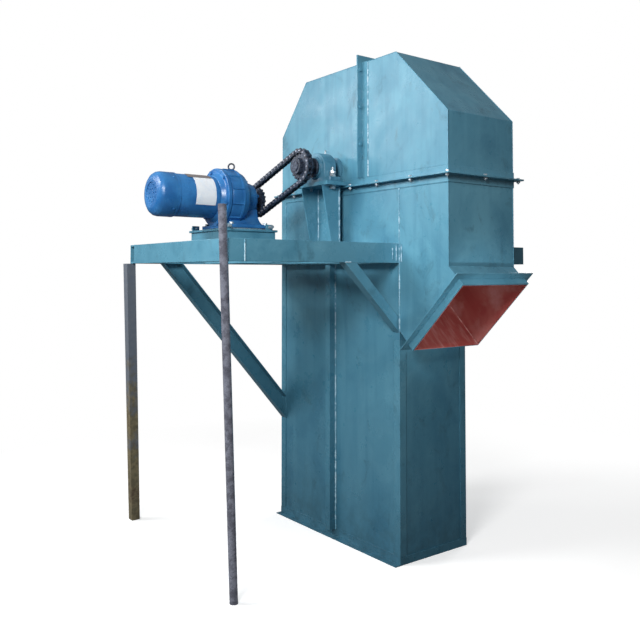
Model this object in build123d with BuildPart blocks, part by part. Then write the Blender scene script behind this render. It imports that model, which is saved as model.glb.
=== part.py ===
from build123d import *
import os
from math import asin, atan2, cos, degrees, hypot, pi, radians, sin, sqrt, tan

# Bucket elevator head section with its chain drive.
# Lengths are in millimetres. X runs towards the discharge chute, Y towards the back,
# Z up. The origin is the centre of the casing's foot, on the floor.

# Casing
case_length = 1060.0
case_width = 480.0
sheet = 5.0
joint_height = 1950.0
head_overhang = 340.0

# Hood
hood_rise = 670.0
shoulder_rise_left = 370.0
shoulder_rise_right = 305.0
roof_inset_left = 250.0
roof_inset_right = 360.0
seam_inset = 628.0
shaft_hole_gap = 10.0

# Discharge chute
mouth_run = 102.0
mouth_drop = 858.0
mouth_height = 456.0
floor_lap = 130.0

# Steel angles of the flanges and corners
angle_leg = 40.0
angle_wall = 4.0
foot_wall = 5.0
foot_bolt_y = 150.0
foot_bolt_radius = 7.0
corner_drop = 57.0

# Platform channels
beam_height = 100.0
beam_width = 48.0
beam_web = 5.3
beam_flange = 8.5
platform_drop = 325.0
platform_reach = 1000.0
rear_reach = 520.0
brace_leg = 50.0
brace_wall = 5.0
brace_reach = 356.0
long_brace_width = 90.0
long_brace_reach = 820.0
long_brace_drop = 940.0

# Head shaft and its bearings
shaft_radius = 35.0
shaft_end_radius = 30.0
shaft_front_overhang = 40.0
shaft_back_overhang = 55.0
running_gap = 0.05
bearing_stand_off = 100.0
bearing_centre_height = 84.4
bearing_length = 266.0
bearing_depth = 84.0
bearing_foot = 27.0
bearing_foot_corner = 14.0
bearing_shoulder = 172.0
bearing_body_radius = 84.0
bearing_body_depth = 84.0
bearing_ring_radius = 62.0
bearing_ring_depth = 108.0
bearing_bolt_x = 105.0
bearing_bolt_hole = 11.0
seat_clearance = 1.6
seat_thickness = 20.0
seat_length = 290.0
seat_depth = 164.0
bracket_half_width = 100.0
bracket_plate = 8.0
gusset_top_depth = 118.0
gusset_foot_depth = 50.0
flange_clearance = 2.0

# Pulley
pulley_radius = 250.0
pulley_crown = 4.0
pulley_side_gap = 65.0
pulley_hub_radius = 65.0
pulley_hub_reach = 22.0
pulley_rim = 10.0
pulley_disc = 10.0
pulley_recess = 30.0

# Chain drive
chain_overhang = 145.0
chain_pitch = 31.75
head_teeth = 17
motor_teeth = 17
chain_links = 46
motor_drop = 155.0
roller_radius = 9.5
inner_link_width = 19.0
link_plate = 4.0
inner_plate_height = 30.0
outer_plate_height = 26.0
tooth_gap = 1.0
tooth_height = 11.0
tooth_width = 17.4
head_hub_radius = 46.0
head_hub_length = 70.0
motor_hub_radius = 40.0
motor_hub_length = 56.0

# Gearmotor
output_gap = 50.0
seal_radius = 44.0
seal_length = 7.0
output_radius = 92.0
output_rounding = 12.0
housing_radius = 110.0
housing_length = 92.0
step_radius = 118.0
step_length = 16.0
ring_radius = 165.0
ring_front_radius = 150.0
ring_length = 150.0
ring_bevel = 42.0
ring_groove = 7.0
ring_flange = 22.0
adapter_length = 25.0
adapter_radius = 138.0
motor_radius = 119.0
motor_length = 250.0
cowl_radius = 123.0
cowl_length = 115.0
cowl_rounding = 44.0
rounding_steps = 4
grille_radius = 62.0
grille_depth = 4.0
grille_hole = 6.0
output_shaft_radius = 22.5
output_shaft_seat = 60.0
shaft_end_gap = 0.3
gear_foot_thickness = 18.0
gear_foot_width = 330.0
gear_foot_length = 280.0
gear_foot_corner = 20.0
gear_centre_height = 185.0
gear_mid_offset = 100.0
pedestal_foot = 290.0
pedestal_neck = 150.0
pedestal_length = 196.0
pedestal_neck_drop = 62.0
terminal_box_depth = 78.0
terminal_box_length = 150.0
terminal_box_height = 120.0
terminal_box_offset = 105.0
terminal_lid = 14.0
terminal_lid_lip = 5.0

# Motor base
base_width = 360.0
base_length = 350.0
base_shift = 20.0
base_wall = 6.0
base_plate_thickness = 12.0
base_plate_lip = 10.0
packing_thickness = 10.0
packing_width = 310.0
packing_length = 264.0

# Props
prop_radius = 19.0
prop_wall = 3.0
prop_rise = 143.0
prop_inset = 9.0
prop_lean_x = 122.0
prop_lean_y = 128.0
post_size = 50.0
post_wall = 5.0
post_offset_x = 25.0
post_offset_y = 30.0
post_lean_x = 430.0
post_lean_y = 225.0
seat_gap = 0.3

# Derived places
half_length = case_length / 2
half_width = case_width / 2
inner_width = half_width - sheet
head_reach = half_length + head_overhang
hood_top = joint_height + hood_rise
hood_shoulder_left = joint_height + shoulder_rise_left
hood_shoulder_right = joint_height + shoulder_rise_right
hood_roof_left = -half_length + roof_inset_left
hood_roof_right = head_reach - roof_inset_right
seam_x = head_reach - seam_inset
diagonal = sqrt(0.5)
mouth_low_x = half_length + mouth_run
mouth_low_z = joint_height - mouth_drop
mouth_top_x = mouth_low_x + mouth_height * diagonal
mouth_top_z = mouth_low_z + mouth_height * diagonal
floor_inner_x = half_length - floor_lap
sheet_step = sheet * diagonal
floor_line = mouth_low_x + mouth_low_z - 2 * sheet_step
roof_line = mouth_top_x + mouth_top_z
platform_top = joint_height - platform_drop
beam_bottom = platform_top - beam_height
front_reach = -half_width - platform_reach
back_reach = half_width + rear_reach
seat_bottom = joint_height + angle_wall + seat_clearance
seat_top = seat_bottom + seat_thickness
shaft_height = seat_top + bearing_centre_height
bearing_y = half_width + bearing_stand_off
chain_y = -bearing_y - chain_overhang
head_pitch_radius = chain_pitch / 2 / sin(pi / head_teeth)
motor_pitch_radius = chain_pitch / 2 / sin(pi / motor_teeth)
chain_span = chain_pitch * (chain_links - (head_teeth + motor_teeth) / 2) / 2
motor_x = -sqrt(chain_span**2 - motor_drop**2)
motor_z = shaft_height - motor_drop
motor_axis = Axis((motor_x, 0, motor_z), (0, 1, 0))
head_axis = Axis((0, 0, shaft_height), (0, 1, 0))
output_face_y = chain_y - output_gap
ring_front_y = output_face_y - housing_length
ring_back_y = ring_front_y - ring_length
motor_front_y = ring_back_y - adapter_length
motor_end_y = motor_front_y - motor_length
cowl_end_y = motor_end_y - cowl_length
gear_mid_y = output_face_y - gear_mid_offset
base_mid_y = gear_mid_y - base_shift
shaft_step_y = chain_y + head_hub_length / 2 + shaft_end_gap
base_plate_bottom = motor_z - gear_centre_height - base_plate_thickness
base_top = base_plate_bottom + base_plate_thickness


def outline_face(points):
    """Fill a closed outline in the current sketch."""
    Polygon(*points, align=None)


def bent_sheet(points, side):
    """Fill a strip one sheet thick along a bent line in the current sketch."""
    with BuildLine() as bend:
        Polyline(*points)
        offset(amount=sheet, side=side, kind=Kind.INTERSECTION)
    make_face(bend.edges())


def frame_rectangle(x_low, x_high, y_low, y_high, mode=Mode.ADD):
    """Draw a rectangle from its four sides in the current sketch."""
    with Locations(((x_low + x_high) / 2, (y_low + y_high) / 2)):
        Rectangle(x_high - x_low, y_high - y_low, mode=mode)


def side_plane(y):
    """Sketch plane that looks along +Y, at the given depth."""
    return Plane.XZ.offset(-y)


# Casing sheets
with BuildPart() as casing_sides:
    with BuildSketch(side_plane(-inner_width)):
        frame_rectangle(-half_length, half_length, foot_wall, joint_height)
    extrude(amount=sheet)
    mirror(about=Plane.XZ)

with BuildPart() as casing_left:
    with BuildSketch(Plane.XZ):
        frame_rectangle(-half_length, -half_length + sheet, foot_wall, joint_height)
    extrude(amount=inner_width, both=True)

with BuildPart() as casing_right:
    with BuildSketch(Plane.XZ):
        outline_face([
            (half_length - sheet, foot_wall),
            (half_length, foot_wall),
            (half_length, floor_line - half_length),
            (half_length - sheet, floor_line - half_length + sheet),
        ])
    extrude(amount=inner_width, both=True)

# Chute and head end
with BuildPart() as chute_floor:
    with BuildSketch(Plane.XZ):
        bent_sheet([(mouth_low_x, mouth_low_z),
                    (floor_inner_x, mouth_low_z + mouth_low_x - floor_inner_x)], Side.LEFT)
    extrude(amount=inner_width, both=True)

with BuildPart() as head_end:
    with BuildSketch(Plane.XZ):
        bend_x = head_reach - sheet
        bent_sheet([(bend_x, joint_height), (bend_x, roof_line - bend_x), (mouth_top_x, mouth_top_z)], Side.LEFT)
    extrude(amount=inner_width, both=True)

with BuildPart() as chute_sides:
    with BuildSketch(side_plane(-inner_width)):
        outline_face([
            (half_length, joint_height),
            (head_reach, joint_height),
            (head_reach, roof_line + 2 * sheet_step - head_reach),
            (mouth_top_x + sheet_step, mouth_top_z + sheet_step),
            (mouth_low_x - sheet_step, mouth_low_z - sheet_step),
            (half_length, floor_line - half_length),
        ])
    extrude(amount=sheet)
    mirror(about=Plane.XZ)

mouth_plane = Plane(
    origin=((mouth_low_x + mouth_top_x) / 2, 0, (mouth_low_z + mouth_top_z) / 2),
    x_dir=(diagonal, 0, diagonal),
    z_dir=(diagonal, 0, -diagonal),
)
duct_height = mouth_height + 2 * sheet

with BuildPart() as chute_flange:
    with BuildSketch(mouth_plane):
        Rectangle(duct_height + 2 * angle_wall, case_width + 2 * angle_wall)
        Rectangle(duct_height, case_width, mode=Mode.SUBTRACT)
    extrude(amount=-angle_leg)
    with BuildSketch(mouth_plane.offset(-angle_leg)):
        Rectangle(duct_height + 2 * angle_leg, case_width + 2 * angle_leg)
        Rectangle(duct_height, case_width, mode=Mode.SUBTRACT)
    extrude(amount=angle_wall)

# Foot frame: its front leg points outwards, the other three point inwards
with BuildPart() as foot_frame:
    with BuildSketch(Plane.XY):
        frame_rectangle(-half_length - foot_wall, half_length + foot_wall,
                        -half_width - angle_leg, half_width + foot_wall)
        frame_rectangle(-half_length + angle_leg, half_length - angle_leg,
                        -inner_width, half_width - angle_leg, mode=Mode.SUBTRACT)
        with GridLocations(case_length - angle_leg, 2 * foot_bolt_y, 2, 2):
            Circle(foot_bolt_radius, mode=Mode.SUBTRACT)
    extrude(amount=foot_wall)
    with BuildSketch(Plane.XY):
        Rectangle(case_length + 2 * foot_wall, case_width + 2 * foot_wall)
        Rectangle(case_length, case_width, mode=Mode.SUBTRACT)
    extrude(amount=angle_leg)

# The two angle rings bolted together at the casing joint
with BuildPart() as joint_ring_lower:
    with BuildSketch(Plane.XY.offset(joint_height)):
        frame_rectangle(-half_length - angle_leg, head_reach + angle_leg,
                        -half_width - angle_leg, half_width + angle_leg)
        frame_rectangle(-half_length, head_reach, -half_width, half_width, mode=Mode.SUBTRACT)
    extrude(amount=-angle_wall)
    with BuildSketch(Plane.XY.offset(joint_height)):
        frame_rectangle(-half_length - angle_wall, head_reach + angle_wall,
                        -half_width - angle_wall, half_width + angle_wall)
        frame_rectangle(-half_length, head_reach, -half_width, half_width, mode=Mode.SUBTRACT)
    extrude(amount=-angle_leg)

with BuildPart() as joint_ring_upper:
    mirror(joint_ring_lower.part, about=Plane.XY.offset(joint_height))

# Corner angles wrap the four upright edges of the casing
with BuildPart() as corner_angles:
    for x_side, top in ((-1, joint_height - angle_leg), (1, floor_line - half_length - corner_drop)):
        for y_side in (-1, 1):
            with BuildSketch(Plane.XY.offset(angle_leg)):
                x_edge = x_side * half_length
                y_edge = y_side * half_width
                outline_face([
                    (x_edge, y_edge),
                    (x_edge, y_edge - y_side * angle_leg),
                    (x_edge + x_side * angle_wall, y_edge - y_side * angle_leg),
                    (x_edge + x_side * angle_wall, y_edge + y_side * angle_wall),
                    (x_edge - x_side * angle_leg, y_edge + y_side * angle_wall),
                    (x_edge - x_side * angle_leg, y_edge),
                ])
            extrude(amount=top - angle_leg)

# Upright stiffeners in the middle of both broad faces, broken by the platform beams
with BuildPart() as face_stiffeners:
    for y_side in (-1, 1):
        for z_low, z_high in ((angle_leg, beam_bottom), (platform_top, joint_height - angle_leg)):
            with BuildSketch(Plane.XY.offset(z_low)):
                y_face = y_side * half_width
                y_tip = y_side * (half_width + angle_leg)
                outline_face([
                    (0, y_face),
                    (0, y_tip),
                    (-angle_leg, y_tip),
                    (-angle_leg, y_tip - y_side * angle_wall),
                    (-angle_wall, y_tip - y_side * angle_wall),
                    (-angle_wall, y_face),
                ])
            extrude(amount=z_high - z_low)

# Hood, in two halves bolted together at an upright seam
with BuildPart() as hood_left_sides:
    with BuildSketch(side_plane(-inner_width)):
        outline_face([
            (-half_length, joint_height),
            (-half_length, hood_shoulder_left),
            (hood_roof_left, hood_top),
            (seam_x, hood_top),
            (seam_x, joint_height),
        ])
        with Locations((0, shaft_height)):
            Circle(shaft_radius + shaft_hole_gap, mode=Mode.SUBTRACT)
    extrude(amount=sheet)
    mirror(about=Plane.XZ)

with BuildPart() as hood_left_cover:
    with BuildSketch(Plane.XZ):
        bent_sheet([
            (-half_length, joint_height),
            (-half_length, hood_shoulder_left),
            (hood_roof_left, hood_top),
            (seam_x, hood_top),
        ], Side.RIGHT)
    extrude(amount=inner_width, both=True)

with BuildPart() as hood_right_sides:
    with BuildSketch(side_plane(-inner_width)):
        outline_face([
            (seam_x, joint_height),
            (seam_x, hood_top),
            (hood_roof_right, hood_top),
            (head_reach, hood_shoulder_right),
            (head_reach, joint_height),
        ])
    extrude(amount=sheet)
    mirror(about=Plane.XZ)

with BuildPart() as hood_right_cover:
    with BuildSketch(Plane.XZ):
        bent_sheet([
            (seam_x, hood_top),
            (hood_roof_right, hood_top),
            (head_reach, hood_shoulder_right),
            (head_reach, joint_height),
        ], Side.RIGHT)
    extrude(amount=inner_width, both=True)

# Seam angles run up the front, over the roof and down the back of the hood
seam_foot = joint_height + angle_leg

with BuildPart() as hood_seam_left:
    for reach, length in ((angle_leg, angle_wall), (angle_wall, angle_leg)):
        with BuildSketch(Plane.YZ.offset(seam_x)):
            frame_rectangle(-half_width - reach, half_width + reach, seam_foot, hood_top + reach)
            frame_rectangle(-half_width, half_width, seam_foot, hood_top, mode=Mode.SUBTRACT)
        extrude(amount=-length)

with BuildPart() as hood_seam_right:
    mirror(hood_seam_left.part, about=Plane.YZ.offset(seam_x))


def channel_section(x, open_side):
    """Draw an upright channel section; its web stands opposite the open side."""
    with Locations((x, platform_top - beam_height / 2)):
        Rectangle(beam_width, beam_height)
    with Locations((x + open_side * beam_web / 2, platform_top - beam_height / 2)):
        Rectangle(beam_width - beam_web, beam_height - 2 * beam_flange, mode=Mode.SUBTRACT)


# Front platform
side_beam_x = half_length - beam_width / 2
inner_beam_y = half_width + angle_wall + beam_width / 2
cross_half = half_length - beam_width

with BuildPart() as platform_side_beams:
    with BuildSketch(side_plane(-half_width)):
        channel_section(side_beam_x, -1)
    extrude(amount=platform_reach)
    with BuildSketch(side_plane(-half_width - angle_wall)):
        channel_section(-side_beam_x, 1)
    extrude(amount=platform_reach - angle_wall)

with BuildPart() as platform_cross_beams:
    with BuildSketch(Plane.YZ.offset(-cross_half)):
        channel_section(front_reach + beam_width / 2, 1)
        channel_section(-inner_beam_y, -1)
    extrude(amount=2 * cross_half)

with BuildPart() as motor_cross_beams:
    with BuildSketch(Plane.YZ.offset(-cross_half)):
        for y_side in (-1, 1):
            channel_section(base_mid_y + y_side * (base_length - beam_width) / 2, -y_side)
    extrude(amount=2 * cross_half)

# Rear platform
with BuildPart() as rear_side_beams:
    with BuildSketch(side_plane(half_width)):
        channel_section(side_beam_x, -1)
    extrude(amount=-rear_reach)
    with BuildSketch(side_plane(half_width + angle_wall)):
        channel_section(-side_beam_x, 1)
    extrude(amount=-rear_reach + angle_wall)

with BuildPart() as rear_cross_beams:
    with BuildSketch(Plane.YZ.offset(-cross_half)):
        channel_section(back_reach - beam_width / 2, -1)
        channel_section(inner_beam_y, 1)
    extrude(amount=2 * cross_half)


def brace(strips, y_foot, reach, drop):
    """Build a sloping brace, cut level at the beam and upright at the casing.

    Each strip is (x_low, x_high, start, width), with start and width measured level.
    """
    slope = drop / reach
    with BuildPart() as sloping:
        for x_low, x_high, start, width in strips:
            with BuildSketch(Plane.YZ.offset(x_low)):
                outline_face([
                    (y_foot - reach + start, beam_bottom),
                    (y_foot - reach + start + width, beam_bottom),
                    (y_foot, beam_bottom - drop + slope * (start + width)),
                    (y_foot, beam_bottom - drop + slope * start),
                ])
            extrude(amount=x_high - x_low)
    return sloping


leg_run = brace_leg / diagonal
wall_run = brace_wall / diagonal
long_run = hypot(long_brace_reach, long_brace_drop) / long_brace_drop
long_width_run = long_brace_width * long_run
long_wall_run = brace_wall * long_run

brace_near = brace([
    (half_length - brace_wall, half_length, 0, leg_run),
    (half_length - brace_leg, half_length, 0, wall_run),
], -half_width, brace_reach, brace_reach)

brace_left = brace([
    (-half_length, -half_length + brace_wall, 0, leg_run),
    (-half_length, -half_length + brace_leg, 0, wall_run),
], -half_width - angle_wall, brace_reach, brace_reach)

with BuildPart() as rear_braces:
    mirror(brace_near.part, about=Plane.XZ)
    mirror(brace_left.part, about=Plane.XZ)

brace_far = brace([
    (-half_length, -half_length + brace_wall, 0, long_width_run),
    (-half_length, -half_length + beam_width, 0, long_wall_run),
    (-half_length, -half_length + beam_width, long_width_run - long_wall_run, long_wall_run),
], -half_width - angle_wall, long_brace_reach, long_brace_drop)

# Bearing bracket: back plate on the inner beam, two tapered gussets and a seat plate
plate_face_y = half_width + angle_leg + flange_clearance
seat_back_y = half_width + angle_wall + flange_clearance

with BuildPart() as bearing_brackets:
    with BuildSketch(side_plane(-plate_face_y)):
        frame_rectangle(-bracket_half_width, bracket_half_width, platform_top, seat_bottom)
    extrude(amount=bracket_plate)
    for x_side in (-1, 1):
        with BuildSketch(Plane.YZ.offset(x_side * bracket_half_width)):
            gusset_root = -plate_face_y - bracket_plate
            outline_face([
                (gusset_root, platform_top),
                (gusset_root, seat_bottom),
                (gusset_root - gusset_top_depth, seat_bottom),
                (gusset_root - gusset_foot_depth, platform_top),
            ])
        extrude(amount=-x_side * bracket_plate)
    with BuildSketch(Plane.XY.offset(seat_bottom)):
        frame_rectangle(-seat_length / 2, seat_length / 2, -seat_back_y - seat_depth, -seat_back_y)
    extrude(amount=seat_thickness)
    mirror(about=Plane.XZ)

# Pillow block bearings, mirror images front and back
with BuildPart() as bearing_blocks:
    with BuildSketch(Plane.XY.offset(seat_top)):
        with Locations((0, -bearing_y)):
            RectangleRounded(bearing_length, bearing_depth, bearing_foot_corner)
            with GridLocations(2 * bearing_bolt_x, bearing_depth, 2, 1):
                RegularPolygon(bearing_bolt_hole, 8, mode=Mode.SUBTRACT)
    extrude(amount=bearing_foot)
    with BuildSketch(side_plane(-bearing_y)):
        with Locations((0, shaft_height)):
            Circle(bearing_body_radius)
        with Locations((0, seat_top + bearing_foot / 2)):
            Rectangle(bearing_shoulder, bearing_foot)
        make_hull()
    extrude(amount=bearing_body_depth / 2, both=True)
    with BuildSketch(side_plane(-bearing_y)):
        with Locations((0, shaft_height)):
            Circle(bearing_ring_radius)
    extrude(amount=bearing_ring_depth / 2, both=True)
    with BuildSketch(side_plane(-bearing_y)):
        with Locations((0, shaft_height)):
            Circle(shaft_radius + running_gap)
    extrude(amount=bearing_depth, both=True, mode=Mode.SUBTRACT)
    mirror(about=Plane.XZ)

# Head shaft and pulley
with BuildPart() as head_shaft:
    with BuildSketch(side_plane(chain_y - shaft_front_overhang)):
        with Locations((0, shaft_height)):
            Circle(shaft_end_radius)
    extrude(amount=-(bearing_y + shaft_back_overhang - chain_y + shaft_front_overhang))
    with BuildSketch(side_plane(shaft_step_y)):
        with Locations((0, shaft_height)):
            Circle(shaft_radius)
    extrude(amount=-(bearing_y + shaft_back_overhang - shaft_step_y))

with BuildPart() as head_pulley:
    drum_half = inner_width - pulley_side_gap
    hub_half = drum_half + pulley_hub_reach
    disc_face = drum_half - pulley_recess
    disc_back = disc_face - pulley_disc
    rim_inside = pulley_radius - pulley_crown - pulley_rim
    hub_bore = shaft_radius + running_gap
    with BuildSketch(Plane((0, 0, shaft_height))):
        outline_face([
            (hub_bore, hub_half),
            (pulley_hub_radius, hub_half),
            (pulley_hub_radius, disc_face),
            (rim_inside, disc_face),
            (rim_inside, drum_half),
            (pulley_radius - pulley_crown, drum_half),
            (pulley_radius, 0),
            (pulley_radius - pulley_crown, -drum_half),
            (rim_inside, -drum_half),
            (rim_inside, -disc_face),
            (pulley_hub_radius, -disc_face),
            (pulley_hub_radius, -hub_half),
            (hub_bore, -hub_half),
        ])
        with Locations(((pulley_hub_radius + rim_inside) / 2, 0)):
            Rectangle(rim_inside - pulley_hub_radius, 2 * disc_back, mode=Mode.SUBTRACT)
    revolve(axis=head_axis)

# Roller chain, one fixed loop round both sprockets
line_angle = atan2(motor_drop, -motor_x)
wrap_change = asin((head_pitch_radius - motor_pitch_radius) / chain_span)
straight_run = chain_span * cos(wrap_change)
head_wrap = pi + 2 * wrap_change
motor_wrap = pi - 2 * wrap_change
loop_length = (head_wrap * head_pitch_radius + motor_wrap * motor_pitch_radius + 2 * straight_run)


def around(x, z, radius, angle):
    """Point on a circle round a shaft."""
    return (x + radius * cos(angle), z + radius * sin(angle))


def chain_point(distance):
    """Point of the chain's pitch line at a distance along the loop.

    The loop starts where the upper run leaves the motor sprocket.
    """
    upper = line_angle + pi / 2 + wrap_change
    lower = line_angle - pi / 2 - wrap_change
    if distance < straight_run:
        start = around(motor_x, motor_z, motor_pitch_radius, upper)
        end = around(0, shaft_height, head_pitch_radius, upper)
        share = distance / straight_run
        return (start[0] + (end[0] - start[0]) * share, start[1] + (end[1] - start[1]) * share)
    distance -= straight_run
    if distance < head_wrap * head_pitch_radius:
        return around(0, shaft_height, head_pitch_radius, upper - distance / head_pitch_radius)
    distance -= head_wrap * head_pitch_radius
    if distance < straight_run:
        start = around(0, shaft_height, head_pitch_radius, lower)
        end = around(motor_x, motor_z, motor_pitch_radius, lower)
        share = distance / straight_run
        return (start[0] + (end[0] - start[0]) * share, start[1] + (end[1] - start[1]) * share)
    distance -= straight_run
    return around(motor_x, motor_z, motor_pitch_radius, lower - distance / motor_pitch_radius)


joints = [chain_point(loop_length * i / chain_links) for i in range(chain_links)]


def link_plates(first, height):
    """Draw every second link plate of the loop, from the given joint on."""
    for i in range(first, chain_links, 2):
        (x_a, z_a), (x_b, z_b) = joints[i], joints[(i + 1) % chain_links]
        heading = degrees(atan2(z_b - z_a, x_b - x_a))
        half = hypot(x_b - x_a, z_b - z_a) / 2
        end = height / 2
        corner = end * tan(pi / 8)
        with Locations(Location(((x_a + x_b) / 2, (z_a + z_b) / 2), heading)):
            with Locations((0, 0)):
                Polygon(
                    (-half - end, corner), (-half - corner, end), (half + corner, end), (half + end, corner),
                    (half + end, -corner), (half + corner, -end), (-half - corner, -end), (-half - end, -corner),
                    align=None,
                )


inner_face = inner_link_width / 2
outer_face = inner_face + link_plate

with BuildPart() as drive_chain:
    with BuildSketch(side_plane(chain_y)):
        for joint in joints:
            with Locations(joint):
                RegularPolygon(roller_radius, 6)
    extrude(amount=inner_face, both=True)
    for y_side in (-1, 1):
        with BuildSketch(side_plane(chain_y + y_side * inner_face)):
            link_plates(0, inner_plate_height)
        extrude(amount=-y_side * link_plate)
        with BuildSketch(side_plane(chain_y + y_side * outer_face)):
            link_plates(1, outer_plate_height)
        extrude(amount=-y_side * link_plate)

# Sprockets, turned so that a tooth stands between two rollers


def sprocket(centre, teeth, pitch_radius, roller, hub_radius, hub_length, bore_radius):
    """Build a toothed wheel with a hub round a bore, in the chain's plane.

    The tooth tips stay inside the rollers, so that the wheel turns within the fixed chain.
    roller is a joint of the chain on this wheel, which sets where the teeth stand.
    """
    x, z = centre
    tip = pitch_radius - roller_radius - tooth_gap
    root = tip - tooth_height
    step = 2 * pi / teeth
    start = atan2(roller[1] - z, roller[0] - x) + step / 2
    outline = []
    for tooth in range(teeth):
        for radius, share in ((root, -0.36), (tip, -0.17), (tip, 0.17), (root, 0.36)):
            outline.append(around(x, z, radius, start + step * (tooth + share)))
    with BuildPart() as wheel:
        with BuildSketch(side_plane(chain_y)):
            outline_face(outline)
        extrude(amount=tooth_width / 2, both=True)
        with BuildSketch(side_plane(chain_y)):
            with Locations(centre):
                Circle(hub_radius)
        extrude(amount=hub_length / 2, both=True)
        with BuildSketch(side_plane(chain_y)):
            with Locations(centre):
                Circle(bore_radius)
        extrude(amount=hub_length, both=True, mode=Mode.SUBTRACT)
    return wheel


head_sprocket = sprocket((0, shaft_height), head_teeth, head_pitch_radius,
                         max(joints, key=lambda joint: joint[0]),
                         head_hub_radius, head_hub_length, shaft_end_radius + running_gap)

motor_sprocket = sprocket((motor_x, motor_z), motor_teeth, motor_pitch_radius,
                          min(joints, key=lambda joint: joint[0]),
                          motor_hub_radius, motor_hub_length, output_shaft_radius + running_gap)

# Gearmotor, turned about its axis. Each profile is a list of (radius, depth).
seat_end_y = output_face_y - output_shaft_seat
bore_radius = output_shaft_radius + running_gap

housing_profile = [
    (0, ring_front_y),
    (0, seat_end_y),
    (bore_radius, seat_end_y),
    (bore_radius, output_face_y + seal_length),
    (seal_radius, output_face_y + seal_length),
    (seal_radius, output_face_y),
    (output_radius - output_rounding, output_face_y),
    (output_radius, output_face_y - output_rounding),
    (housing_radius, ring_front_y + step_length),
    (step_radius, ring_front_y + step_length),
    (step_radius, ring_front_y),
]

ring_profile = [
    (0, motor_front_y),
    (motor_radius + 2, motor_front_y),
    (adapter_radius, ring_back_y),
    (ring_radius, ring_back_y),
    (ring_radius, ring_back_y + ring_flange),
    (ring_radius - ring_groove, ring_back_y + ring_flange),
    (ring_radius - ring_groove, ring_back_y + ring_flange + ring_groove),
    (ring_radius, ring_back_y + ring_flange + ring_groove),
    (ring_radius, ring_front_y - ring_bevel),
    (ring_front_radius, ring_front_y - ring_groove),
    (ring_front_radius - ring_groove, ring_front_y),
    (0, ring_front_y),
]

rounding = [
    (cowl_radius - cowl_rounding * (1 - cos(pi / 2 * i / rounding_steps)),
     cowl_end_y + cowl_rounding * (1 - sin(pi / 2 * i / rounding_steps)))
    for i in range(rounding_steps + 1)
]


def turned(points):
    """Build a solid from a half outline turned round the motor's axis."""
    with BuildPart() as solid:
        with BuildSketch(Plane((motor_x, 0, motor_z))):
            outline_face(points)
        revolve(axis=motor_axis)
    return solid


reducer_housing = turned(housing_profile)
gear_ring = turned(ring_profile)

with BuildPart() as motor_body:
    with BuildSketch(side_plane(motor_front_y)):
        with Locations((motor_x, motor_z)):
            Circle(motor_radius)
    extrude(amount=motor_length)

with BuildPart() as fan_cowl:
    with BuildSketch(Plane((motor_x, 0, motor_z))):
        outline_face([(0, motor_end_y), (cowl_radius, motor_end_y), *rounding, (0, cowl_end_y)])
    revolve(axis=motor_axis)
    with BuildSketch(side_plane(cowl_end_y)):
        with Locations((motor_x, motor_z)):
            Circle(grille_radius)
    extrude(amount=-grille_depth, mode=Mode.SUBTRACT)
    with BuildSketch(side_plane(cowl_end_y + grille_depth)):
        with Locations((motor_x, motor_z)):
            for share, holes in ((0.4, 6), (0.78, 12)):
                with PolarLocations(share * grille_radius, holes):
                    RegularPolygon(grille_hole, 6)
    extrude(amount=-2 * grille_depth, mode=Mode.SUBTRACT)

with BuildPart() as terminal_box:
    box_y = motor_front_y - terminal_box_offset
    lid_x = motor_x - motor_radius - terminal_box_depth
    with BuildSketch(Plane.YZ.offset(lid_x + terminal_lid)):
        with Locations((box_y, motor_z)):
            RectangleRounded(terminal_box_length, terminal_box_height, 10)
    extrude(amount=terminal_box_depth + motor_radius / 2)
    with BuildSketch(Plane.YZ.offset(lid_x)):
        with Locations((box_y, motor_z)):
            RectangleRounded(terminal_box_length + 2 * terminal_lid_lip,
                             terminal_box_height + 2 * terminal_lid_lip, 10 + terminal_lid_lip)
    extrude(amount=terminal_lid)
    with BuildSketch(side_plane(motor_front_y)):
        with Locations((motor_x, motor_z)):
            Circle(motor_radius)
    extrude(amount=motor_length, mode=Mode.SUBTRACT)

with BuildPart() as output_shaft:
    with BuildSketch(side_plane(seat_end_y + shaft_end_gap)):
        with Locations((motor_x, motor_z)):
            Circle(output_shaft_radius)
    shaft_tip = chain_y + motor_hub_length / 2 + 5
    extrude(amount=-(shaft_tip - seat_end_y - shaft_end_gap))

# Motor base on the platform
with BuildPart() as motor_base:
    with BuildSketch(Plane.XY.offset(platform_top)):
        with Locations((motor_x, base_mid_y)):
            Rectangle(base_width, base_length)
            Rectangle(base_width - 2 * base_wall, base_length - 2 * base_wall, mode=Mode.SUBTRACT)
    extrude(amount=base_plate_bottom - platform_top)

with BuildPart() as motor_base_plate:
    with BuildSketch(Plane.XY.offset(base_plate_bottom)):
        with Locations((motor_x, base_mid_y)):
            Rectangle(base_width + 2 * base_plate_lip, base_length + 2 * base_plate_lip)
    extrude(amount=base_plate_thickness)

with BuildPart() as packing_plate:
    with BuildSketch(Plane.XY.offset(base_top)):
        with Locations((motor_x, gear_mid_y)):
            Rectangle(packing_width, packing_length)
    extrude(amount=packing_thickness)

# Cast foot of the gearmotor: a plate with a waisted pedestal under the ring and the housing
foot_bottom = base_top + packing_thickness
foot_top = foot_bottom + gear_foot_thickness
neck_z = motor_z - pedestal_neck_drop

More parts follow.
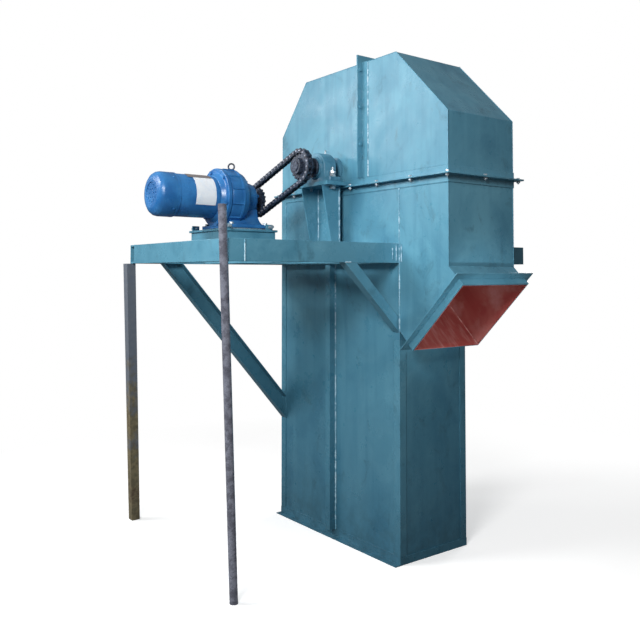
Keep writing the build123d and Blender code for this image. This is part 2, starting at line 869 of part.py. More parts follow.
with BuildPart() as reducer_foot:
    with BuildSketch(Plane.XY.offset(foot_bottom)):
        with Locations((motor_x, gear_mid_y)):
            RectangleRounded(gear_foot_width, gear_foot_length, gear_foot_corner)
    extrude(amount=gear_foot_thickness)
    with BuildSketch(side_plane(gear_mid_y + pedestal_length / 2)):
        with BuildLine():
            foot_left = (motor_x - pedestal_foot / 2, foot_top)
            foot_right = (motor_x + pedestal_foot / 2, foot_top)
            neck_left = (motor_x - pedestal_neck / 2, neck_z)
            neck_right = (motor_x + pedestal_neck / 2, neck_z)
            Line(foot_left, foot_right)
            TangentArc(foot_right, neck_right, tangent=(-1, 0.25))
            Line(neck_right, neck_left)
            TangentArc(foot_left, neck_left, tangent=(1, 0.25))
        make_face()
    extrude(amount=pedestal_length)
    with BuildSketch(Plane((motor_x, 0, motor_z))):
        outline_face([(0, ring_front_y), (0, output_face_y + seal_length), *housing_profile[4:]])
    revolve(axis=motor_axis, mode=Mode.SUBTRACT)
    with BuildSketch(Plane((motor_x, 0, motor_z))):
        outline_face(ring_profile)
    revolve(axis=motor_axis, mode=Mode.SUBTRACT)
    with BuildSketch(side_plane(motor_front_y)):
        with Locations((motor_x, motor_z)):
            Circle(motor_radius)
    extrude(amount=motor_length, mode=Mode.SUBTRACT)

# Props under the platform's outer corners
prop_beam_x = half_length - prop_inset
prop_beam_y = front_reach - prop_radius - seat_gap
prop_slope = (prop_lean_x / beam_bottom, -prop_lean_y / beam_bottom, 1)
prop_stretch = hypot(1, hypot(prop_slope[0], prop_slope[1]))

with BuildPart() as pipe_prop:
    with BuildSketch(Plane.XY):
        with Locations((prop_beam_x - prop_lean_x, prop_beam_y + prop_lean_y)):
            Circle(prop_radius)
            Circle(prop_radius - prop_wall, mode=Mode.SUBTRACT)
    extrude(amount=(platform_top + prop_rise) * prop_stretch, dir=prop_slope)

post_top_x = -half_length + post_size / 2 - post_offset_x
post_top_y = front_reach + post_size / 2 - post_offset_y
post_height = beam_bottom - seat_gap
post_slope = (post_lean_x / post_height, -post_lean_y / post_height, 1)
post_stretch = hypot(1, hypot(post_slope[0], post_slope[1]))

with BuildPart() as corner_post:
    with BuildSketch(Plane.XY):
        with Locations((post_top_x - post_lean_x, post_top_y + post_lean_y)):
            Rectangle(post_size, post_size)
            Rectangle(post_size - 2 * post_wall, post_size - 2 * post_wall, mode=Mode.SUBTRACT)
    extrude(amount=post_height * post_stretch, dir=post_slope)

pieces = {
    "casing_sides": casing_sides,
    "casing_left": casing_left,
    "casing_right": casing_right,
    "chute_floor": chute_floor,
    "chute_sides": chute_sides,
    "chute_flange": chute_flange,
    "head_end": head_end,
    "foot_frame": foot_frame,
    "joint_ring_lower": joint_ring_lower,
    "joint_ring_upper": joint_ring_upper,
    "corner_angles": corner_angles,
    "face_stiffeners": face_stiffeners,
    "hood_left_sides": hood_left_sides,
    "hood_left_cover": hood_left_cover,
    "hood_right_sides": hood_right_sides,
    "hood_right_cover": hood_right_cover,
    "hood_seam_left": hood_seam_left,
    "hood_seam_right": hood_seam_right,
    "platform_side_beams": platform_side_beams,
    "platform_cross_beams": platform_cross_beams,
    "motor_cross_beams": motor_cross_beams,
    "rear_side_beams": rear_side_beams,
    "rear_cross_beams": rear_cross_beams,
    "brace_near": brace_near,
    "brace_far": brace_far,
    "rear_braces": rear_braces,
    "bearing_brackets": bearing_brackets,
    "bearing_blocks": bearing_blocks,
    "head_shaft": head_shaft,
    "head_pulley": head_pulley,
    "head_sprocket": head_sprocket,
    "motor_sprocket": motor_sprocket,
    "drive_chain": drive_chain,
    "reducer_housing": reducer_housing,
    "reducer_foot": reducer_foot,
    "gear_ring": gear_ring,
    "motor_body": motor_body,
    "fan_cowl": fan_cowl,
    "terminal_box": terminal_box,
    "output_shaft": output_shaft,
    "motor_base": motor_base,
    "motor_base_plate": motor_base_plate,
    "packing_plate": packing_plate,
    "pipe_prop": pipe_prop,
    "corner_post": corner_post,
}

os.makedirs("parts", exist_ok=True)
for label, piece in pieces.items():
    piece.part.label = label
    export_step(piece.part, f"parts/{label}.step")
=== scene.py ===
"""Looks of the bucket elevator head section: finishes, fasteners, welds, light and camera.

Everything is in metres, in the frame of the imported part: X towards the discharge chute,
Y towards the back, Z up, the origin on the floor under the middle of the casing.
"""

import logging
import math
import random
from dataclasses import dataclass, field
from enum import Enum

import bmesh
import bpy
from mathutils import Matrix, Vector


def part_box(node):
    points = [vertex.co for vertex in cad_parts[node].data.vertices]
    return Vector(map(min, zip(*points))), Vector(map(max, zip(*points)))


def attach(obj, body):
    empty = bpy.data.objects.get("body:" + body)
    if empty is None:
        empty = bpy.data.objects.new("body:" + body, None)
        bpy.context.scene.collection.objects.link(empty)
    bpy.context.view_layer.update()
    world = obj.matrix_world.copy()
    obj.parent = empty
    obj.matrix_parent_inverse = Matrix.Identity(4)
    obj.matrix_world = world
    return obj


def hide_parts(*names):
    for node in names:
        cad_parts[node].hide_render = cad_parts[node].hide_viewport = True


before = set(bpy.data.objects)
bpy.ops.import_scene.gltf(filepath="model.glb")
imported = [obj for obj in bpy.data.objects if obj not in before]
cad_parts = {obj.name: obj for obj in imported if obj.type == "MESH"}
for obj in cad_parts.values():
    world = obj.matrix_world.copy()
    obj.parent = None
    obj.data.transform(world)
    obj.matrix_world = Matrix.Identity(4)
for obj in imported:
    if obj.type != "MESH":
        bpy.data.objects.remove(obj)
log = logging.getLogger("bucket_elevator")

Colour = tuple[float, float, float]
Point = tuple[float, float, float]
Flat = tuple[float, float]
Mesh = bmesh.types.BMesh
Socket = bpy.types.NodeSocket

# Colour sockets of a Mix node
MIX_LOW, MIX_HIGH, MIX_RESULT = 6, 7, 2

UP, DOWN, BACK, RIGHT = (0, 0, 1), (0, 0, -1), (0, 1, 0), (1, 0, 0)
SIDES = (-1, 1)
WHITE = (1.0, 1.0, 1.0, 1.0)
ROUND = "round"  # face layer that marks faces of a bend


class Body(Enum):
    """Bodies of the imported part."""

    FRAME = "frame"
    HEAD = "head_rotor"
    MOTOR = "motor_rotor"


# ---- Materials


class Nodes:
    """Shorthand for building one material's node tree."""

    def __init__(self, name: str) -> None:
        """Start a material with a plain shader and object coordinates."""
        self.material = bpy.data.materials.new(name)
        self.material.use_nodes = True
        self.tree = self.material.node_tree
        self.shader = self.tree.nodes["Principled BSDF"]
        self.place = self.tree.nodes.new("ShaderNodeTexCoord").outputs["Object"]

    def node(self, kind: str, inputs: dict[str | int, object] | None = None,
             **settings: object) -> bpy.types.Node:
        """Add a node.

        Args:
            kind: node type without its prefix.
            inputs: values or sockets for its inputs, by name or number.
            settings: properties to set on the node.

        Returns:
            The new node.
        """
        made = self.tree.nodes.new("ShaderNode" + kind)
        for key, value in settings.items():
            setattr(made, key, value)
        for key, value in (inputs or {}).items():
            self.feed(made.inputs[key], value)
        return made

    def feed(self, socket: Socket, value: object) -> None:
        """Join an input to another socket, or set it to a number, vector or colour."""
        if isinstance(value, Socket):
            self.tree.links.new(value, socket)
        elif socket.type == "RGBA":
            socket.default_value = (*value[:3], 1.0)
        else:
            socket.default_value = value

    def noise(self, scale: float, detail: float = 4, rough: float = 0.55,
              stretch: Point = (1, 1, 1), warp: float = 0.0) -> Socket:
        """Add a noise pattern.

        Args:
            scale: pattern repeats per metre.
            detail: octaves.
            rough: share of the fine octaves.
            stretch: extra scale on each axis.
            warp: distortion.

        Returns:
            The pattern's value.
        """
        where = self.node("Mapping", {"Scale": stretch, "Vector": self.place}).outputs["Vector"]
        return self.node("TexNoise", {
            "Scale": scale, "Detail": detail, "Roughness": rough, "Distortion": warp,
            "Vector": where,
        }).outputs["Fac"]

    def span(self, value: Socket, low: float, high: float,
             to_low: float = 0.0, to_high: float = 1.0) -> Socket:
        """Map a value from one range to another, held inside it."""
        return self.node("MapRange", {
            "From Min": low, "From Max": high, "To Min": to_low, "To Max": to_high,
            "Value": value,
        }).outputs["Result"]

    def combine(self, operation: str, a: Socket, b: Socket | float) -> Socket:
        """Join two values with a named operation."""
        return self.node("Math", {0: a, 1: b}, operation=operation).outputs["Value"]

    def mix(self, share: Socket, low: Colour | Socket, high: Colour | Socket) -> Socket:
        """Mix two colours by a value."""
        inputs = {"Factor": share, MIX_LOW: low, MIX_HIGH: high}
        return self.node("Mix", inputs, data_type="RGBA").outputs[MIX_RESULT]

    def height(self) -> Socket:
        """Height above the floor."""
        return self.node("SeparateXYZ", {0: self.place}).outputs["Z"]

    def upward(self) -> Socket:
        """How far the surface faces up."""
        normal = self.node("NewGeometry").outputs["Normal"]
        return self.node("SeparateXYZ", {0: normal}).outputs["Z"]

    def bump(self, *layers: tuple[Socket, float]) -> None:
        """Stack bump layers, each a pattern and its depth in metres."""
        below = None
        for pattern, depth in layers:
            inputs = {"Strength": 1.0, "Distance": depth, "Height": pattern}
            if below is not None:
                inputs["Normal"] = below
            below = self.node("Bump", inputs).outputs["Normal"]
        self.feed(self.shader.inputs["Normal"], below)

    def finish(self, colour: Socket | Colour, rough: Socket | float,
               metal: float = 0.0) -> bpy.types.Material:
        """Set the shader's colour, roughness and metal share, and return the material."""
        for name, value in (("Base Color", colour), ("Roughness", rough), ("Metallic", metal)):
            self.feed(self.shader.inputs[name], value)
        return self.material


def linear(red: int, green: int, blue: int) -> Colour:
    """Turn a display colour of 0 to 255 into the linear value that the shader takes."""
    parts = []
    for level in (red, green, blue):
        share = level / 255
        parts.append(share / 12.92 if share <= 0.04045 else ((share + 0.055) / 1.055) ** 2.4)
    return (parts[0], parts[1], parts[2])


@dataclass(frozen=True)
class SheetPaint:
    """Paint on sheet steel, with patches, runs, specks, grime, painted shade towards the bottom and
    gentle dents.
    """

    name: str
    base: Colour
    light: Colour
    dark: Colour
    # painted shade: a darker colour blended in towards the floor, standing for less light there
    low_shade: Colour
    grime: Colour
    rough: float
    dent: float
    runs: float
    specular: float = 0.42

    def material(self) -> bpy.types.Material:
        """Build the material."""
        n = Nodes(self.name)
        patches = n.noise(1.5, 5, 0.62, warp=0.9)
        clouds = n.noise(5.5, 5, 0.6, warp=0.4)
        colour = n.mix(n.span(patches, 0.40, 0.60), self.dark, self.light)
        colour = n.mix(n.span(clouds, 0.45, 0.56, 0.15, 0.75), colour, self.base)
        for scale, low, shade in ((8, 0.50, self.light), (13, 0.52, self.dark)):
            runs = n.noise(scale, 4, 0.55, stretch=(1.3, 1.3, 0.11))
            colour = n.mix(n.span(runs, low, low + 0.12, 0.0, self.runs), colour, shade)
        speck = n.span(n.noise(70, 6, 0.7), 0.56, 0.66, 0.0, 0.25)
        colour = n.mix(speck, colour, self.light)
        # Painted shade: the colour darkens towards the floor, where less light falls.
        colour = n.mix(n.span(n.height(), 0.0, 1.6, 0.66, 0.0), colour, self.low_shade)
        low = n.span(n.height(), 0.0, 0.36, 1.0, 0.0)
        grime = n.combine("MULTIPLY", low, n.span(n.noise(14, 6, 0.7), 0.38, 0.62, 0.05, 0.5))
        spots = n.span(n.noise(31, 8, 0.75, warp=0.4), 0.62, 0.74, 0.0, 0.55)
        spots = n.combine("MULTIPLY", spots, n.span(patches, 0.3, 0.5, 0.2, 1.0))
        smudges = n.noise(7, 7, 0.72, stretch=(1, 1, 0.7), warp=0.6)
        smudges = n.span(smudges, 0.57, 0.70, 0.0, 0.42)
        spots = n.combine("MAXIMUM", spots, smudges)
        colour = n.mix(n.combine("MAXIMUM", grime, spots), colour, self.grime)
        rough = n.span(n.noise(6, 6, 0.7), 0.3, 0.7, self.rough - 0.10, self.rough + 0.14)
        n.bump((n.noise(2.8, 2, 0.4), self.dent), (n.noise(9, 3, 0.5), self.dent * 0.12),
               (n.noise(420, 3, 0.6), 0.00002))
        n.shader.inputs["Specular IOR Level"].default_value = self.specular
        return n.finish(colour, rough)


@dataclass(frozen=True)
class BeadPaint:
    """Thin paint on weld beads, with painted highlights: patches lightened towards a glint colour
    along the bead.
    """

    name: str
    base: Colour
    painted_glint: Colour

    def material(self) -> bpy.types.Material:
        """Build the material."""
        n = Nodes(self.name)
        # Painted highlight: patches of the bead lightened towards its glint colour.
        painted_glints = n.span(n.noise(34, 3, 0.6), 0.44, 0.58, 0.0, 1.0)
        n.bump((n.noise(380, 2, 0.5), 0.0002))
        return n.finish(n.mix(painted_glints, self.base, self.painted_glint), n.span(painted_glints, 0.0, 1.0, 0.4, 0.25))


@dataclass(frozen=True)
class Primer:
    """Matt red oxide primer, scuffed where material slid over it."""

    name: str
    base: Colour
    light: Colour
    scuff: Colour

    def material(self) -> bpy.types.Material:
        """Build the material."""
        n = Nodes(self.name)
        colour = n.mix(n.span(n.noise(3.2, 4, 0.55, warp=0.8), 0.36, 0.64), self.base, self.light)
        streak = n.span(n.noise(12, 5, 0.6, stretch=(0.5, 2.2, 0.5)), 0.48, 0.66, 0.0, 0.5)
        colour = n.mix(streak, colour, self.scuff)
        n.bump((n.noise(3.0, 2, 0.4), 0.003), (n.noise(260, 4, 0.7), 0.0004))
        return n.finish(colour, n.span(n.noise(9, 5, 0.6), 0.3, 0.7, 0.55, 0.82))


@dataclass(frozen=True)
class Enamel:
    """Glossy enamel on castings, with a cast grain and dust on upward faces."""

    name: str
    base: Colour
    light: Colour
    dust: Colour
    rough: float = 0.24
    grain: float = 0.00008

    def material(self) -> bpy.types.Material:
        """Build the material."""
        n = Nodes(self.name)
        colour = n.mix(n.span(n.noise(7, 5, 0.6), 0.43, 0.57), self.base, self.light)
        settled = n.span(n.upward(), 0.35, 1.0, 0.0, 0.3)
        dust = n.combine("MULTIPLY", settled, n.span(n.noise(26, 7, 0.7), 0.35, 0.65))
        colour = n.mix(dust, colour, self.dust)
        uneven = n.span(n.noise(18, 5, 0.6), 0.3, 0.7, self.rough, self.rough + 0.16)
        rough = n.combine("ADD", uneven, n.combine("MULTIPLY", dust, 0.3))
        n.bump((n.noise(150, 3, 0.6), self.grain), (n.noise(900, 2, 0.5), 0.00001))
        return n.finish(colour, rough)


@dataclass(frozen=True)
class BareSteel:
    """Bare or plated steel: turned, oiled or rusty, by its colours and metal share."""

    name: str
    base: Colour
    light: Colour
    stain: Colour
    metal: float
    rough: float
    stain_share: float
    scale: float
    overspray: Colour | None = None
    overspray_from: float = 0.55

    def material(self) -> bpy.types.Material:
        """Build the material."""
        n = Nodes(self.name)
        colour = n.mix(n.span(n.noise(38 * self.scale, 6, 0.65), 0.42, 0.58), self.base, self.light)
        stain = n.span(n.noise(17 * self.scale, 8, 0.72, warp=0.5), 0.62 - 0.3 * self.stain_share,
                       0.74 - 0.2 * self.stain_share, 0.0, 0.9)
        colour = n.mix(stain, colour, self.stain)
        if self.overspray is not None:
            reach = n.combine("ADD", n.height(), n.span(n.noise(9, 6, 0.7), 0.3, 0.7, -0.5, 0.5))
            top = n.span(reach, self.overspray_from, self.overspray_from + 0.45, 0.0, 0.8)
            colour = n.mix(top, colour, self.overspray)
        uneven = n.span(n.noise(60 * self.scale, 5, 0.6), 0.3, 0.7,
                        self.rough - 0.06, self.rough + 0.1)
        rough = n.combine("ADD", uneven, n.combine("MULTIPLY", stain, 0.2))
        n.bump((n.noise(210 * self.scale, 5, 0.7), 0.00012))
        return n.finish(colour, rough, self.metal)


@dataclass(frozen=True)
class Paper:
    """Bare paper with soft creases and grey handling marks."""

    name: str
    base: Colour
    mark: Colour

    def material(self) -> bpy.types.Material:
        """Build the material."""
        n = Nodes(self.name)
        marks = n.span(n.noise(24, 6, 0.7), 0.5, 0.75, 0.0, 0.5)
        n.bump((n.noise(22, 3, 0.6, warp=1.2), 0.003))
        return n.finish(n.mix(marks, self.base, self.mark), n.span(marks, 0.0, 1.0, 0.6, 0.8))


class Surface(Enum):
    """Finishes of the machine."""

    # The fourth colour of each sheet paint is painted shade towards the floor.
    CASING = SheetPaint(
        "casing_finish", linear(84, 144, 168), linear(101, 160, 182), linear(69, 127, 153),
        linear(33, 76, 99), linear(38, 68, 78), rough=0.31, dent=0.0022, runs=0.40)
    FRAME = SheetPaint(
        "frame_finish", linear(88, 148, 172), linear(104, 162, 184), linear(74, 132, 156),
        linear(40, 84, 106), linear(36, 64, 76), rough=0.28, dent=0.0008, runs=0.08)
    # The second colour of each bead paint is a painted highlight.
    WELD = BeadPaint("weld_finish", linear(104, 160, 184), linear(188, 220, 234))
    PRIMER = Primer(
        "primer_finish", linear(180, 80, 74), linear(206, 118, 112), linear(222, 164, 160))
    RED_BEAD = BeadPaint("red_bead_finish", linear(206, 128, 122), linear(240, 196, 190))
    MOTOR = Enamel(
        "motor_finish", linear(40, 104, 166), linear(54, 124, 186), linear(84, 114, 144))
    SEAL = Enamel(
        "seal_finish", linear(60, 114, 140), linear(84, 138, 162), linear(98, 132, 146))
    OILED = BareSteel(
        "oiled_finish", linear(26, 30, 40), linear(70, 82, 102), linear(34, 34, 42),
        metal=0.25, rough=0.34, stain_share=0.1, scale=3.0)
    # Pins: lighter than the plates, partly bare pin heads and partly painted highlight.
    PIN = BareSteel(
        "pin_and_highlight_finish", linear(124, 130, 144), linear(182, 188, 202), linear(48, 50, 58),
        metal=0.4, rough=0.32, stain_share=0.2, scale=5.0)
    SHAFT = BareSteel(
        "shaft_finish", linear(42, 48, 62), linear(88, 98, 116), linear(40, 42, 50),
        metal=0.4, rough=0.38, stain_share=0.2, scale=1.6)
    BRIGHT = BareSteel(
        "bright_finish", linear(190, 194, 200), linear(224, 228, 232), linear(140, 134, 124),
        metal=0.6, rough=0.3, stain_share=0.08, scale=2.0)
    ZINC = BareSteel(
        "zinc_finish", linear(150, 166, 176), linear(204, 214, 220), linear(112, 116, 116),
        metal=0.5, rough=0.3, stain_share=0.06, scale=4.0)
    PIPE = BareSteel(
        "pipe_finish", linear(118, 120, 134), linear(158, 162, 178), linear(84, 66, 62),
        metal=0.45, rough=0.26, stain_share=0.16, scale=0.8)
    POST = BareSteel(
        "post_finish", linear(112, 104, 82), linear(138, 128, 100), linear(88, 68, 52),
        metal=0.1, rough=0.5, stain_share=0.25, scale=0.8, overspray=linear(108, 120, 138))
    PAPER = Paper("paper_finish", linear(250, 252, 255), linear(214, 228, 246))
    TAPE = Paper("tape_finish", linear(132, 124, 122), linear(104, 98, 98))

    def material(self) -> bpy.types.Material:
        """Build the finish's material once, and return it."""
        made = bpy.data.materials.get(self.value.name)
        return made or self.value.material()


# ---- Places from the frame


def middle(node: str) -> Vector:
    """Middle of a solid's box."""
    low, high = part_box(node)
    return (low + high) / 2


def shaft_end(node: str) -> Flat:
    """A shaft's place across its axis, as (x, z)."""
    centre = middle(node)
    return (centre.x, centre.z)


# ---- Mesh helpers


def place(point: Point, axis: Point = UP) -> Matrix:
    """Matrix that stands a shape's +Z on a point, along an axis."""
    turn = Vector(axis).normalized().to_track_quat("Z", "Y").to_matrix().to_4x4()
    return Matrix.Translation(point) @ turn


def cylinder(bm: Mesh, at: Matrix, radius: float, depth: float, segments: int,
             tip: float | None = None) -> None:
    """Add a capped cylinder or cone.

    Args:
        bm: mesh that takes it.
        at: place of its middle, with its axis along +Z.
        radius: its radius.
        depth: its length.
        segments: its number of sides.
        tip: radius of its far end, if it tapers.
    """
    made = bmesh.ops.create_cone(bm, cap_ends=True, segments=segments, radius1=radius,
                                 radius2=radius if tip is None else tip, depth=depth)
    bmesh.ops.transform(bm, matrix=at, verts=made["verts"])


def block(bm: Mesh, centre: Point, size: Point) -> None:
    """Add a box of a size round a centre."""
    made = bmesh.ops.create_cube(bm, size=1.0)["verts"]
    matrix = Matrix.Translation(centre) @ Matrix.Diagonal((*size, 1))
    bmesh.ops.transform(bm, matrix=matrix, verts=made)


def ring(bm: Mesh, centre: Point, profile: list[Flat], steps: int) -> None:
    """Spin a closed profile round an axis along Y.

    Args:
        bm: mesh that takes the ring.
        centre: point on the axis.
        profile: corners as (radius, distance from the centre along Y).
        steps: steps of the full turn.
    """
    x, y, z = centre
    verts = [bm.verts.new((x + radius, y + along, z)) for radius, along in profile]
    edges = [bm.edges.new(pair) for pair in zip(verts, verts[1:] + verts[:1])]
    bmesh.ops.spin(bm, geom=verts + edges, cent=centre, axis=BACK, angle=2 * math.pi,
                   steps=steps, use_merge=True, use_duplicate=False)


def round_edges(bm: Mesh, edges: list[bmesh.types.BMEdge], width: float, segments: int) -> None:
    """Bevel edges with a round profile."""
    bmesh.ops.bevel(bm, geom=edges, offset=width, offset_type="OFFSET", affect="EDGES",
                    segments=segments, profile=0.5, material=-1, clamp_overlap=True)


def add_object(name: str, data: bpy.types.ID) -> bpy.types.Object:
    """Add an object to the scene, and return it."""
    made = bpy.data.objects.new(name, data)
    bpy.context.scene.collection.objects.link(made)
    return made


class Assembly:
    """A sub-assembly that builds pieces and hands them to the frame."""

    strip = 0.0035  # faces narrower than this are shaded smooth
    flat_bend = math.radians(0.6)  # bends below this are flat
    round_bend = math.radians(28)  # bends below this are part of a round, above it an edge

    def publish(self, name: str, bm: Mesh, surface: Surface, body: Body = Body.FRAME,
                smooth: float = 40.0, plates: bool = False) -> bpy.types.Object:
        """Make an object of a finished mesh.

        Args:
            name: the piece's name.
            bm: its mesh, freed here.
            surface: its finish.
            body: the body that it rides on.
            smooth: edges below this angle in degrees are shaded smooth.
            plates: whether wide faces stay flat, unless they are marked as round.

        Returns:
            The new object.
        """
        bmesh.ops.remove_doubles(bm, verts=bm.verts, dist=1e-6)
        bmesh.ops.recalc_face_normals(bm, faces=bm.faces)
        limit = math.radians(smooth)
        rounds = bm.faces.layers.int.get(ROUND)
        for face in bm.faces:
            narrow = 2 * face.calc_area() / face.calc_perimeter() < self.strip
            curved = rounds is not None and face[rounds] == 1
            face.smooth = not plates or narrow or curved
        for edge in bm.edges:
            paired = len(edge.link_faces) == 2
            edge.smooth = paired and edge.calc_face_angle(math.pi) < limit
        if rounds is not None:
            bm.faces.layers.int.remove(rounds)
        mesh = bpy.data.meshes.new(name)
        bm.to_mesh(mesh)
        bm.free()
        if "custom_normal" in mesh.attributes:
            mesh.attributes.remove(mesh.attributes["custom_normal"])
        mesh.materials.append(surface.material())
        piece = add_object(name, mesh)
        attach(piece, body.value)
        log.info("%s: %d faces", name, len(mesh.polygons))
        return piece

    def softened(self, node: str, surface: Surface, width: float, segments: int = 2,
                 body: Body = Body.FRAME) -> bpy.types.Object:
        """Copy a solid of the frame with its edges rounded, and show the copy instead.

        Args:
            node: the solid's name.
            surface: its finish.
            width: the rounding's width.
            segments: the rounding's steps.
            body: the body that it rides on.

        Returns:
            The new object.
        """
        bm = bmesh.new()
        bm.from_mesh(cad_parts[node].data)
        bmesh.ops.remove_doubles(bm, verts=bm.verts, dist=2e-6)
        bmesh.ops.dissolve_limit(bm, angle_limit=self.flat_bend, verts=bm.verts, edges=bm.edges)
        rounds = bm.faces.layers.int.new(ROUND)
        for face in bm.faces:
            bends = [e.calc_face_angle(0.0) for e in face.edges if len(e.link_faces) == 2]
            curved = any(self.flat_bend < bend < self.round_bend for bend in bends)
            face[rounds] = len(face.verts) <= 6 and curved
        sharp = [e for e in bm.edges
                 if len(e.link_faces) == 2 and e.calc_face_angle(0.0) > self.round_bend]
        round_edges(bm, sharp, width, segments)
        piece = self.publish(f"{node}_finished", bm, surface, body, smooth=32.0, plates=True)
        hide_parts(node)
        return piece


@dataclass
class Bolting(Assembly):
    """Hexagon bolts with washers, of one thread size."""

    thread: float = 0.010
    across: float = 0.017
    head: float = 0.0064
    washer: float = 0.021
    washer_depth: float = 0.0018
    tail: float = 0.004

    def bolt(self, bm: Mesh, point: Point, axis: Point, turn: float,
             through: float = 0.0) -> None:
        """Add one bolt head with its washer, and a nut on the far side.

        Args:
            bm: mesh that takes the bolt.
            point: centre of the washer's seat.
            axis: direction in which the head stands up.
            turn: turn of the hexagon in radians.
            through: thickness of what is clamped; 0 leaves the nut out.
        """
        self.stack(bm, place(point, axis), turn, self.head)
        if through:
            nut = self.head * 1.15
            far = tuple(Vector(point) - Vector(axis).normalized() * through)
            back = place(far, tuple(-part for part in axis))
            self.stack(bm, back, turn + 0.4, nut)
            rise = Matrix.Translation((0, 0, self.washer_depth + nut + self.tail * 0.5))
            cylinder(bm, back @ rise, self.thread / 2, self.tail * 2, 10, self.thread / 2 * 0.86)

    def stack(self, bm: Mesh, at: Matrix, turn: float, height: float) -> None:
        """Add a washer and a hexagon on it, standing on a place."""
        half = Matrix.Translation((0, 0, self.washer_depth / 2))
        cylinder(bm, at @ half, self.washer / 2, self.washer_depth, 18)
        rise = Matrix.Translation((0, 0, self.washer_depth + height / 2))
        radius = self.across / math.sqrt(3)
        cylinder(bm, at @ rise @ Matrix.Rotation(turn, 4, "Z"), radius, height, 6, radius * 0.97)


@dataclass
class Welding(Assembly):
    """Weld beads: a rippled half round laid along a seam."""

    ripple: float = 0.008
    sides: int = 6
    seed: int = 7

    def bead(self, bm: Mesh, start: Point, end: Point, width: float) -> None:
        """Add a bead from one point to another.

        Args:
            bm: mesh that takes the bead.
            start: first end of the seam.
            end: other end.
            width: the bead's width.
        """
        draw = random.Random(self.seed + len(bm.verts))
        run = Vector(end) - Vector(start)
        steps = max(2, int(run.length / self.ripple))
        radius = width / 2
        made = bmesh.ops.create_circle(bm, cap_ends=True, segments=self.sides, radius=radius)
        bmesh.ops.transform(bm, matrix=place(start, tuple(run)), verts=made["verts"])
        face = made["verts"][0].link_faces[0]
        for step in range(1, steps + 1):
            grown = bmesh.ops.extrude_face_region(bm, geom=[face])["geom"]
            verts = [g for g in grown if isinstance(g, bmesh.types.BMVert)]
            bmesh.ops.delete(bm, geom=[face], context="FACES_ONLY")
            face = next(g for g in grown if isinstance(g, bmesh.types.BMFace))
            centre = sum((v.co for v in verts), Vector()) / len(verts)
            swell = radius * (1.18 if step % 2 else 0.86) * draw.uniform(0.9, 1.1)
            target = Vector(start) + run * (step / steps)
            for vert in verts:
                vert.co = target + (vert.co - centre).normalized() * swell

    def path(self, bm: Mesh, y: float, width: float, *points: Flat) -> None:
        """Add beads of one width through (x, z) points at a depth y."""
        for (xa, za), (xb, zb) in zip(points, points[1:]):
            self.bead(bm, (xa, y, za), (xb, y, zb), width)


# ---- Sub-assemblies


